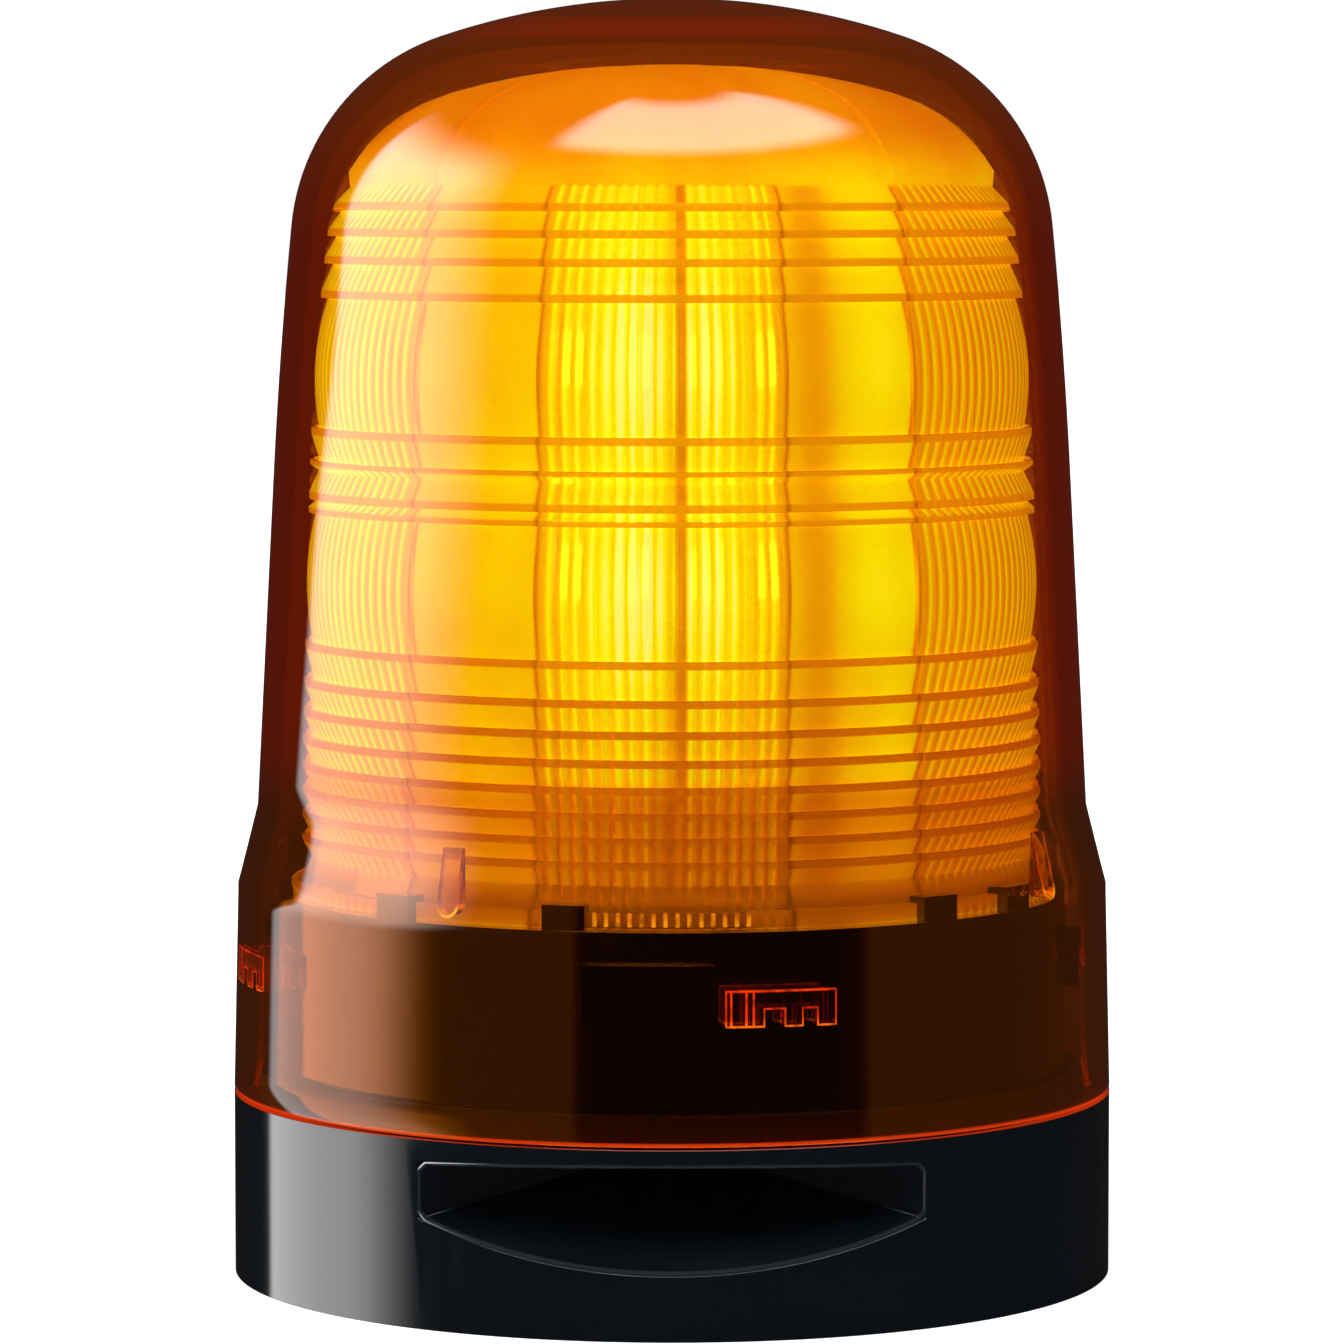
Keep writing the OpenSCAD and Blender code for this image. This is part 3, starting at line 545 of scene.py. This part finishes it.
class Recipe:
    # one geometry tree with named inputs, and one method for any node
    def __init__(self, name, **inputs):
        self.tree = bpy.data.node_groups.new(name, "GeometryNodeTree")
        self.tree.is_modifier = True
        sockets = self.tree.interface
        sockets.new_socket("Geometry", in_out="INPUT", socket_type="NodeSocketGeometry")
        sockets.new_socket("Geometry", in_out="OUTPUT", socket_type="NodeSocketGeometry")
        self.keys = {key: sockets.new_socket(key, in_out="INPUT", socket_type="NodeSocket" + kind).identifier
            for key, kind in inputs.items()}
        self.given = self.tree.nodes.new("NodeGroupInput")

    def input(self, key):
        return Value(self.tree, self.given.outputs[key])

    def node(self, kind, settings=None, output=0, **values):
        made = self.tree.nodes.new(kind)
        for key, setting in (settings or {}).items():
            setattr(made, key, setting)
        for key, value in values.items():
            socketOf(self.tree, value, made.inputs[key.replace("_", " ")])
        return Value(self.tree, made.outputs[output])

    # copies round the beacon's axis, made real, with their material
    def finish(self, shape):
        points = self.node("GeometryNodeMeshLine", Count=self.input("Copies"), Offset=(0, 0, 0))
        angle = self.node("GeometryNodeInputIndex") * self.input("Step")
        upright = self.node("ShaderNodeCombineXYZ", Z=angle)
        rotation = self.node("FunctionNodeEulerToRotation", Euler=upright)
        copies = self.node("GeometryNodeInstanceOnPoints", Points=points, Instance=shape, Rotation=rotation)
        real = self.node("GeometryNodeRealizeInstances", Geometry=copies)
        done = self.node("GeometryNodeSetMaterial", Geometry=real, Material=self.input("Material"))
        self.tree.links.new(done.socket, self.tree.nodes.new("NodeGroupOutput").inputs[0])


def copiesRecipe():
    r = Recipe("copiesRoundTheAxis", Copies="Int", Step="Float", Material="Material")
    r.finish(r.input("Geometry"))
    return r


# a round bead along every line of the mesh that it is given
def beadRecipe():
    r = Recipe("beadAlongLines", Copies="Int", Step="Float", Material="Material", Radius="Float")
    profile = r.node("GeometryNodeCurvePrimitiveCircle", Resolution=8, Radius=r.input("Radius"))
    path = r.node("GeometryNodeMeshToCurve", Mesh=r.input("Geometry"))
    r.finish(r.node("GeometryNodeCurveToMesh", Curve=path, Profile_Curve=profile, Fill_Caps=True))
    return r


roundTheAxis, beadAlong = copiesRecipe(), beadRecipe()


# runs a recipe on a first shape and keeps the result as a plain mesh
def grown(name, verts, edges, faces, recipe, material, body, slot, **values):
    plan = bpy.data.meshes.new(name + "Plan")
    plan.from_pydata(verts, edges, faces)
    holder = bpy.data.objects.new(name + "Plan", plan)
    scene.collection.objects.link(holder)
    maker = holder.modifiers.new("recipe", "NODES")
    maker.node_group = recipe.tree
    for key, value in {**values, "Material": materials[material]}.items():
        maker[recipe.keys[key]] = value
    mesh = bpy.data.meshes.new_from_object(holder.evaluated_get(bpy.context.evaluated_depsgraph_get()))
    mesh.name = name
    bpy.data.objects.remove(holder)
    finished(mesh, 35)
    newPiece(name, mesh, material, body)


# corners as (turn, height) made into short edges on a cylinder; a closed line joins its ends
def lineOnCylinder(radius, corners, closed=True, step=1.0):
    ends = corners[1:] + corners[:1] if closed else corners[1:]
    verts = [] if closed else [onCylinder(radius, *corners[0])]
    for (t0, z0), (t1, z1) in zip(corners, ends):
        count = max(1, math.ceil(abs(t1 - t0) / step))
        verts += [onCylinder(radius, t0 + (t1 - t0) * i / count, z0 + (z1 - z0) * i / count)
            for i in range(1, count + 1)]
    edges = [(i, i + 1) for i in range(len(verts) - 1)]
    if closed:
        edges.append((len(verts) - 1, 0))
    return verts, edges


# ---- globe ----

globe = {
    "wall": 2.4 * mm,
    "skirtDraft": 0.55 * mm,
    "skirtHeight": 23.2 * mm,
    "shoulderHeight": 9.1 * mm,
    "draft": 3.0,
    "sideTilt": 5.7,
    "sideRadius": 600 * mm,
    "cornerRadius": 25 * mm,
    "topRadius": 82 * mm,
    "cornerInset": 31.8 * mm,
    "segments": 240,
    "topDisc": 23 * mm,        # the slightly thicker middle of the dome
    "topDiscFlat": 0.86,       # share of its radius that is flat
    "topDiscStep": 0.35 * mm,
    "footChamfer": 0.35 * mm,
    "smoothAngle": 50,
}


# the cover's outline at a depth inside its outer face, from the skirt's foot to the apex
def globeLine(depth):
    g = globe
    radius, top, foot = globeHigh.x, globeHigh.z, globeLow.z
    inset = radius - g["cornerInset"]
    reach = g["topRadius"] - g["cornerRadius"]
    cornerZ = top - g["topRadius"] + math.sqrt(reach ** 2 - inset ** 2)
    domeTurn = math.degrees(math.acos(inset / reach))
    away = g["sideRadius"] - g["cornerRadius"]
    tilt = math.radians(g["sideTilt"])
    side = (inset - away * math.cos(tilt), cornerZ - away * math.sin(tilt))
    draft = math.radians(g["draft"])
    sideLow = (side[0] + g["sideRadius"] * math.cos(draft), side[1] + g["sideRadius"] * math.sin(draft))
    skirtTop = foot + g["skirtHeight"]
    shoulderTop = skirtTop + g["shoulderHeight"]
    shoulderR = sideLow[0] + (sideLow[1] - shoulderTop) * math.tan(draft)
    line = [(radius - depth, foot)]
    line += linePoints(line[-1], (radius - g["skirtDraft"] * 0.95 - depth, skirtTop - 1.2 * mm), 8)
    # the shoulder bends in softly at its foot and straightens out at its top
    start, end = line[-1], (shoulderR - depth, shoulderTop - depth * 0.1)
    bend = [(radius - g["skirtDraft"] - depth, skirtTop + 0.2 * mm),
        (radius - g["skirtDraft"] - 0.45 * mm - depth, skirtTop + 1.9 * mm)]
    line += bend
    line += linePoints(bend[-1], (end[0] + 0.42 * mm, end[1] - 1.7 * mm), 5)
    line += [end]
    sideR = g["sideRadius"] - depth
    low = (side[0] + sideR * math.cos(draft), side[1] + sideR * math.sin(draft))
    line += linePoints(end, low, 10)
    line += arcPoints(side, sideR, g["draft"], g["sideTilt"], 8)[1:]
    line += arcPoints((inset, cornerZ), g["cornerRadius"] - depth, g["sideTilt"], domeTurn, 24)[1:]
    line += arcPoints((0, top - g["topRadius"]), g["topRadius"] - depth, domeTurn, 90, 14)[1:]
    line[-1] = (0, line[-1][1])
    return line


def makeGlobe():
    g = globe
    flat = g["topDisc"] * g["topDiscFlat"]

    # the middle of the dome is a little thicker inside, with a soft step
    def thickened(r, z):
        if z <= globeHigh.z - 12 * mm:
            return z
        share = (r - flat) / (g["topDisc"] - flat)
        return z - g["topDiscStep"] * (1 - min(1, max(0, share)))

    outer = globeLine(0)
    inner = [(r, thickened(r, z)) for r, z in globeLine(g["wall"])]
    (footR, footZ), chamfer = outer[0], g["footChamfer"]
    foot = [(inner[0][0] + 0.1 * mm, inner[0][1]), (footR - chamfer, footZ), (footR, footZ + chamfer)]
    mesh = turned("globeShell", foot + outer[1:] + inner[::-1][:-1], g["segments"], g["smoothAngle"])
    piece = newPiece("globeShell", mesh, "globeAmber", "globe_cover")
    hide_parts("globe")


makeGlobe()
print("globe made")


# a block between two radii, two heights and two turns, as verts and faces
def arcBlock(rIn, rOut, z0, z1, turn0, turn1, steps):
    verts, faces = [], []
    for j in range(steps + 1):
        turn = turn0 + (turn1 - turn0) * (j / steps)
        verts += [onCylinder(r, turn, z) for r, z in ((rIn, z0), (rOut, z0), (rOut, z1), (rIn, z1))]
    for j in range(steps):
        k = 4 * j
        for i in range(4):
            n = (i + 1) % 4
            faces.append((k + i, k + 4 + i, k + 4 + n, k + n))
    last = 4 * steps
    faces += [(0, 1, 2, 3), (last + 3, last + 2, last + 1, last)]
    return verts, faces


def joined(parts):
    verts, faces = [], []
    for partVerts, partFaces in parts:
        faces += [tuple(i + len(verts) for i in face) for face in partFaces]
        verts += partVerts
    return verts, faces


bayonet = {
    "start": 6.9,              # turn of the first lug's left end
    "turn": 14.5,              # a lug's length in degrees
    "low": 33.7 * mm,
    "high": 37.5 * mm,
    "inner": 45.5 * mm,
    "outer": 47.6 * mm,
    "teeth": (0.0, 0.18, 0.34, 0.53, 0.69, 0.83, 1.0),
    "notches": (2, 4),         # which of the spans between these are cut away below
    "notch": 1.9 * mm,
    "marks": (0.045, 0.18, 0.245),
    "bead": 0.12 * mm,
    "beadInset": 0.25 * mm,
    "ribTurn": -30.4,
    "ribInner": 45.25 * mm,
    "ribOuter": 47.4 * mm,
    "ribLow": 45.9 * mm,
    "ribHigh": 52.0 * mm,
    "ribWidth": 2.4 * mm,
    "ribBead": 0.16 * mm,
    "leanFrom": 44 * mm,       # over this height a rib's outer face leans in with the shoulder
    "lean": 0.2,
}
fourRound = {"Copies": 4, "Step": math.pi / 2}
onGlobe = ("globe_cover", "globe_amber")


# four comb-shaped lugs inside the skirt, and beads with a painted glow along their edges
def makeLugs():
    b = bayonet
    parts, corners = [], [(b["start"], b["high"])]
    for i, (start, end) in enumerate(zip(b["teeth"], b["teeth"][1:])):
        low = b["low"] + (b["notch"] if i in b["notches"] else 0)
        span = (b["start"] + start * b["turn"], b["start"] + end * b["turn"])
        parts.append(arcBlock(b["inner"], b["outer"], low, b["high"], *span, 4))
        corners += [(span[0], low), (span[1], low)]
    corners.append((b["start"] + b["turn"], b["high"]))
    verts, faces = joined(parts)
    grown("bayonetLugs", verts, [], faces, roundTheAxis, "globeAmber", *onGlobe, **fourRound)
    beadR = b["outer"] - b["beadInset"]
    verts, edges = lineOnCylinder(beadR, corners)
    for share in b["marks"]:
        turn = b["start"] + share * b["turn"]
        line, ends = lineOnCylinder(beadR, [(turn, b["low"]), (turn, b["high"])], closed=False)
        edges += [(i + len(verts), j + len(verts)) for i, j in ends]
        verts += line
    grown("lugEdges", verts, edges, [], beadAlong, "lugLight", *onGlobe, Radius=b["bead"], **fourRound)


# four upright ribs inside the shoulder, with round feet
def makeShoulderRibs():
    b = bayonet
    half = b["ribWidth"] / 2
    outline = [(-half, b["ribHigh"]), (-half, b["ribLow"])]
    outline += [(half * math.sin(math.radians(d)), b["ribLow"] - half * math.cos(math.radians(d)))
        for d in range(-75, 90, 15)]
    outline += [(half, b["ribLow"]), (half, b["ribHigh"])]
    n = len(outline)
    a = math.radians(b["ribTurn"])
    verts = []
    for depth in (b["ribInner"], b["ribOuter"]):
        for w, z in outline:
            lean = max(0.0, z - b["leanFrom"]) * b["lean"] if depth > b["ribInner"] else 0.0
            x, y, z = onCylinder(depth - lean, b["ribTurn"], z)
            verts.append((x + w * math.cos(a), y + w * math.sin(a), z))
    faces = [tuple(range(n)), tuple(range(2 * n - 1, n - 1, -1))]
    faces += [(i, (i + 1) % n, n + (i + 1) % n, n + i) for i in range(n)]
    grown("shoulderRibs", verts, [], faces, roundTheAxis, "globeAmber", *onGlobe, **fourRound)
    # beads with a painted glow along each rib's outline on its outer side
    edges = [(i, i + 1) for i in range(n - 1)]
    grown("ribEdges", verts[n:], edges, [], beadAlong, "ribLight", *onGlobe, Radius=b["ribBead"], **fourRound)


makeLugs()
makeShoulderRibs()
print("lugs and ribs made")


# ---- inner lens ----

def lensShape():
    p = lens
    top = lensHigh.z
    inset = bodyR - 25.7 * mm
    reach = p["topRadius"] - p["cornerRadius"]
    cornerZ = top - p["topRadius"] + math.sqrt(reach ** 2 - inset ** 2)
    domeTurn = math.acos(inset / reach)
    tilt, draft = math.radians(p["sideTilt"]), math.radians(p["draft"])
    away = p["sideRadius"] - p["cornerRadius"]
    side = (inset - away * math.cos(tilt), cornerZ - away * math.sin(tilt))
    cornerTop = cornerZ + p["cornerRadius"] * math.sin(domeTurn)
    sideTop = cornerZ + p["cornerRadius"] * math.sin(tilt)
    sideLow = side[1] + p["sideRadius"] * math.sin(draft)

    def radius(z):
        if z > cornerTop:
            over = z - top + p["topRadius"]
            return math.sqrt(max(0.0, p["topRadius"] ** 2 - over ** 2))
        if z > sideTop:
            return inset + math.sqrt(p["cornerRadius"] ** 2 - (z - cornerZ) ** 2)
        if z > sideLow:
            return side[0] + math.sqrt(p["sideRadius"] ** 2 - (z - side[1]) ** 2)
        straight = side[0] + p["sideRadius"] * math.cos(draft) + (sideLow - z) * math.tan(draft)
        return min(straight, bodyR - 2.8 * mm)
    return radius, sideTop


lensRadius, lensSideTop = lensShape()


# prism edges between two heights, finer towards the second
def graded(start, end, count):
    return [start + (end - start) * (i / count) ** 0.85 for i in range(count + 1)]


# one prism as (radius, height, rim): a strip on its edge, then a flank that falls back
def prism(near, far):
    way = 1 if far > near else -1
    span = abs(far - near)
    rim = min(lens["rimWidth"], span * 0.36)
    out = []
    for along, depth, mark in ((0.0, 0.0, 1.0), (0.1 * mm, 0.0, 0.5), (rim, 0.0, 0.5),
            (rim + lens["rimStep"], 0.08, 0.0), ((rim + span) / 2, 0.5, 0.0), (span, 1.0, 0.0)):
        z = near + way * along
        out.append((lensRadius(z) - lens["prismDepth"] * depth, z, mark))
    return out


# the lens's outline as (radius, height, rim), and its inside as (radius, height)
def lensLoop():
    p = lens
    bottom, top = lensLow.z, lensHigh.z
    low, high = bulgeRows
    half, steps = p["bulgeHalf"], p["bulgeSteps"]
    lower = graded(low - half, bottom + p["flange"] + p["flangeGap"], p["lowerCount"])
    upper = graded(high + half, faceTop, p["upperCount"])
    between = [low + half + (p["rowPitch"] - 2 * half) * share for share in p["between"]]

    def bulge(z):
        shares = [i / steps for i in range(-steps, steps + 1)]
        return [(lensRadius(z + half * s) - p["bulge"] * s ** 2, z + half * s, 0.0) for s in shares]

    flangeR = bodyR - p["flangeInset"]
    flangeTop = bottom + p["flange"]
    corner = p["flangeCorner"]
    outer = [(flangeR - corner, bottom, 0.0), (flangeR, bottom + corner, 0.0),
        (flangeR, flangeTop - corner, 0.5), (flangeR - corner, flangeTop, 0.5),
        (lensRadius(bottom), flangeTop, 1.0)]
    for i in range(p["lowerCount"], 0, -1):
        outer += prism(lower[i - 1], lower[i])[::-1]
    outer += bulge(low)
    for i, (start, end) in enumerate(zip(between, between[1:])):
        outer += prism(start, end) if i < 2 else prism(end, start)[::-1]
    outer += bulge(high)
    for start, end in zip(upper, upper[1:]):
        outer += prism(start, end)
    for i in range(1, 15):
        z = upper[-1] + (top - upper[-1]) * math.sin(math.pi / 2 * i / 14)
        outer.append((lensRadius(z), z, 0.0))
    outer[-1] = (0.0, top, 0.0)
    inner = []
    for i in range(21):
        z = bottom + (lensSideTop - bottom) * i / 20
        inner.append((lensRadius(z) - p["prismDepth"] - p["wall"], z))
    for i in range(1, 13):
        lean = math.pi / 2 * i / 12
        z = lensSideTop + (top - p["wall"] - lensSideTop) * math.sin(lean)
        inner.append((max(0.0, lensRadius(z + p["wall"]) - p["prismDepth"] - p["wall"] * math.cos(lean)), z))
    inner[-1] = (0.0, top - p["wall"])
    return outer, inner


# turns round the lens, as (sector, share of the ribbed half, share of the plain gap, flute)
def lensTurns():
    p = lens
    out = []
    count = p["flutes"] * p["samples"]
    for k in range(p["sectors"]):
        out += [(k, 2 * i / count - 1, None, i / p["samples"]) for i in range(count + 1)]
        out += [(k, None, i / p["gapSteps"], 0) for i in range(p["gapSteps"] + 1)]
    return out


# the degrees and the sunk depth of a spot on the lens, at full size
def lensSpot(turn, half, inside, onFlange):
    p = lens
    sector, share, gap, flute = turn
    middle = p["sectorTurn"] + sectorPitch * sector
    if share is None:
        edge = p["sectorEdge"]
        degrees = middle + half + edge + (sectorPitch - 2 * half - 2 * edge) * gap
        return degrees, 0 if inside or onFlange else p["plainStep"]
    wave = 0.5 + 0.5 * math.cos(2 * math.pi * flute)
    return middle + share * half, p["fluteDepth"] * wave if inside else 0


def makeLens():
    p = lens
    outer, inner = lensLoop()
    turns = lensTurns()
    low, high = bulgeRows
    verts, rings, rims, outside = [], [], [], []
    loop = [(r, z, rim, False) for r, z, rim in outer] + [(r, z, 0.0, True) for r, z in inner[::-1]]
    for r, z, rim, inside in loop:
        if r < poleRadius:
            spots = [(0, 0, z)]
            rings.append([len(verts)] * len(turns))
        else:
            fade = min(1.0, r / p["fadeRadius"])
            near = max(0.0, 1 - (min(abs(z - low), abs(z - high)) / p["bulgeHalf"]) ** 2)
            half = p["ribbedHalf"] - p["bow"] / 2 + p["bow"] * near
            onFlange = z < lensLow.z + p["flange"] + 1e-6
            places = [lensSpot(turn, half, inside, onFlange) for turn in turns]
            spots = [onCylinder(r - sunk * fade, degrees, z) for degrees, sunk in places]
            rings.append(list(range(len(verts), len(verts) + len(turns))))
        verts += spots
        rims += [rim] * len(spots)
        outside += [0.0 if inside else 1.0] * len(spots)
    mesh = bpy.data.meshes.new("prismLens")
    mesh.from_pydata(verts, [], facesBetween(rings))
    mesh.attributes.new("prismRim", "FLOAT", "POINT").data.foreach_set("value", rims)
    mesh.attributes.new("outerFace", "FLOAT", "POINT").data.foreach_set("value", outside)
    finished(mesh, 32)
    print("lens triangles:", sum(len(f.vertices) - 2 for f in mesh.polygons))
    piece = newPiece("prismLens", mesh, "lensAmber", "base")
    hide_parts("inner_lens")


# bars with a painted glow between the cells of the lens's foot
def makeFootCells():
    f = lensFoot
    step = 2 * f["half"] / f["cells"]
    radius = bodyR - lens["flangeInset"]
    half = math.degrees(f["bar"] / 2 / radius)
    start = f["middle"] - f["half"]
    bar = arcBlock(radius - 0.1 * mm, radius + 0.15 * mm, lensLow.z + f["low"], lensLow.z + f["high"],
        start - half, start + half, 1)
    grown("footCells", bar[0], [], bar[1], roundTheAxis, "cellLight", "base", "lens_amber",
        Copies=f["cells"] + 1, Step=math.radians(step))


makeLens()
makeFootCells()
print("lens made")


# ---- carried-over pieces: a merged copy of each CAD node, smooth and softly bevelled ----

carried = {
    "weld": 2e-6,
    "flatAngle": 0.5,          # faces that differ by less than this are joined
    "smoothAngle": 28,
    "bevel": 0.12 * mm,
    "bevelAngle": 40,
    "softer": {"base_case": 0.4 * mm, "upper_case": 0.2 * mm},
}


def refined(node, material, body):
    mesh = nodes[node].data.copy()
    mesh.name = node + "Mesh"
    bm = bmesh.new()
    bm.from_mesh(mesh)
    bmesh.ops.remove_doubles(bm, verts=bm.verts, dist=carried["weld"])
    flat = math.radians(carried["flatAngle"])
    bmesh.ops.dissolve_limit(bm, angle_limit=flat, verts=bm.verts, edges=bm.edges)
    bm.to_mesh(mesh)
    bm.free()
    smoothed(mesh, carried["smoothAngle"])
    piece = newPiece(node + "_piece", mesh, material, body)
    soft = piece.modifiers.new("softEdges", "BEVEL")
    soft.width = carried["softer"].get(node, carried["bevel"])
    soft.segments = 2
    soft.limit_method = "ANGLE"
    soft.angle_limit = math.radians(carried["bevelAngle"])
    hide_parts(node)


bodies = frame["record"]["behaviour"]["bodies"]
bodyOf = {node: body for body, members in bodies.items() for node in members}
finishes = {
    "base_case": "caseBlack", "base_plate": "caseBlack", "upper_case": "caseBlack",
    "base_gasket": "rubber", "cable_grommet": "rubber", "case_seal": "rubber", "globe_seal": "rubber",
    "threaded_inserts": "brass", "buzzer_disc": "brass",
    "case_screws": "steel", "column_screws": "steel", "cap_screw": "steel", "board_screws": "steel",
    "terminal_screws": "steel", "buzzer_screws": "steel",
    "led_column": "column", "column_cap": "white", "led_connector": "white", "volume_knob": "white",
    "main_board": "board", "switch_board": "board", "capacitors": "capacitor", "choke_coil": "copper",
    "driver_chips": "chip", "buzzer_holder": "chip", "buzzer_retainer": "chip", "terminal_block": "terminal",
    "sound_screen": "mesh", "dip_housing": "blue", "volume_base": "blue",
}
for i in range(1, 7):
    finishes[f"led_board_{i}"] = "lampBoard"
    finishes[f"led_chips_{i}"] = "lampDome"
for i in range(1, 5):
    finishes[f"dip_lever_{i}"] = "white"
for node, finish in finishes.items():
    refined(node, finish, bodyOf[node])
print("carried-over pieces finished:", len(finishes))


# ---- outlet ----

outlet = {
    "halfWidth": 27.5 * mm,
    "low": 7.1 * mm,           # of its lower edge, at the front
    "slope": 31.0,
    "high": 19.2 * mm,         # of its upper edge, at the front
    "ceilingSlope": 6.3,
    "bead": 0.3 * mm,
    "corner": 0.9 * mm,
    "inset": 0.12 * mm,        # of the bead inside the opening
    "steps": 48,
}


# the rounded lip round the buzzer's outlet, on the case's outer face, lighter than the case as a painted
# highlight
def makeOutletLip():
    o = outlet
    radius = caseR - o["bead"]
    halfWidth = o["halfWidth"] - o["inset"]
    reach = halfWidth - o["corner"]

    def spot(x, edge, slope):
        y = -math.sqrt(radius ** 2 - x ** 2)
        return (x, y, edge + (y + caseR) * math.tan(math.radians(slope)))

    across = [-reach + 2 * reach * i / o["steps"] for i in range(o["steps"] + 1)]
    lower = [spot(x, o["low"] + o["inset"], o["slope"]) for x in across]
    upper = [spot(-x, o["high"] - o["inset"], -o["ceilingSlope"]) for x in across]
    sideY = -math.sqrt(radius ** 2 - halfWidth ** 2)
    foot, top = lower[-1][2] + o["corner"] * 1.1, upper[0][2] - o["corner"]
    right = [(halfWidth, sideY, foot), (halfWidth, sideY, top)]
    left = [(-halfWidth, sideY, top), (-halfWidth, sideY, foot)]
    verts = lower + right + upper + left
    edges = [(i, (i + 1) % len(verts)) for i in range(len(verts))]
    grown("outletLip", verts, edges, [], beadAlong, "lipBlack", "base", "case_black",
        Copies=1, Step=0.0, Radius=o["bead"])


makeOutletLip()
print("outlet lip made")


# ---- stage, light and camera ----

view = {
    "distance": 720 * mm,
    "height": 124.1 * mm,
    "aim": 68.1 * mm,
    "lens": 169.7,
    "sensor": 36,
    "clipStart": 0.01,
    "floorHalf": 6.0,
    "floorGlow": 0.45,
}


def makeCamera():
    data = bpy.data.cameras.new("studioCamera")
    data.lens = view["lens"]
    data.sensor_width = view["sensor"]
    data.clip_start = view["clipStart"]
    camera = bpy.data.objects.new("studioCamera", data)
    scene.collection.objects.link(camera)
    camera.location = (0, -view["distance"], view["height"])
    aim = Vector((0, 0, view["aim"]))
    camera.rotation_euler = (aim - camera.location).to_track_quat("-Z", "Y").to_euler()
    scene.camera = camera


def makeFloor():
    mesh = bpy.data.meshes.new("floorMesh")
    far = view["floorHalf"]
    mesh.from_pydata([(-far, -far, 0), (far, -far, 0), (far, far, 0), (-far, far, 0)], [], [(0, 1, 2, 3)])
    floor = bpy.data.objects.new("studioFloor", mesh)
    scene.collection.objects.link(floor)
    s = Shader("paleFloor")
    s.set(Base_Color=(0.9, 0.9, 0.9), Roughness=0.9, Specular_IOR_Level=0.1,
        Emission_Color=(1, 1, 1), Emission_Strength=view["floorGlow"])
    mesh.materials.append(s.material)
    floor.visible_glossy = False
    floor.visible_transmission = False


# soft boxes of the studio, in degrees round the beacon and above it, each as where the light starts, is full,
# begins to fade and ends; 0 is behind the camera and 90 is at the object's right
sideBox = {"across": (-132, -128, -94, -66), "up": (-50, -30, 28, 46), "strength": 5.6}
frontBox = {"across": (-54, -42, 74, 90), "up": (46, 54, 74, 82), "strength": 6.4}
ambient = 0.009


def boxLight(box, azimuth, elevation):
    return azimuth.band(*box["across"]) * box["strength"] * elevation.band(*box["up"])


def makeWorld():
    world = bpy.data.worlds.new("studio")
    world.use_nodes = True
    scene.world = world
    s = Nodes(world.node_tree)
    x, y, z = s.parts(s.node("TexCoord", output="Generated"))
    azimuth = s.angle(x, y)
    elevation = s.node("Math", {"operation": "ARCSINE"}, i0=z) * (180 / math.pi)
    # the side box leans forward and is dimmer towards its foot
    leaning = azimuth - elevation.rises(-6, 4) * 14
    fall = elevation.rises(-6, 4) * 0.32 + elevation.rises(8, 30) * 0.37 + 0.31
    level = boxLight(sideBox, leaning, elevation) * fall + boxLight(frontBox, azimuth, elevation) + ambient
    seen = s.node("LightPath", output="Is Camera Ray")
    shade = level * (1 - seen) + seen
    back = s.tree.nodes["Background"]
    s.tree.links.new(shade.socket, back.inputs["Strength"])
    back.inputs["Color"].default_value = (1, 1, 1, 1)


makeCamera()
makeFloor()
makeWorld()
scene.view_settings.view_transform = "Standard"
scene.cycles.use_denoising = True
scene.cycles.max_bounces = 10
scene.cycles.transmission_bounces = 10
scene.cycles.glossy_bounces = 4
scene.cycles.diffuse_bounces = 2
scene.cycles.sample_clamp_indirect = 6.0
print("stage, light and camera made")
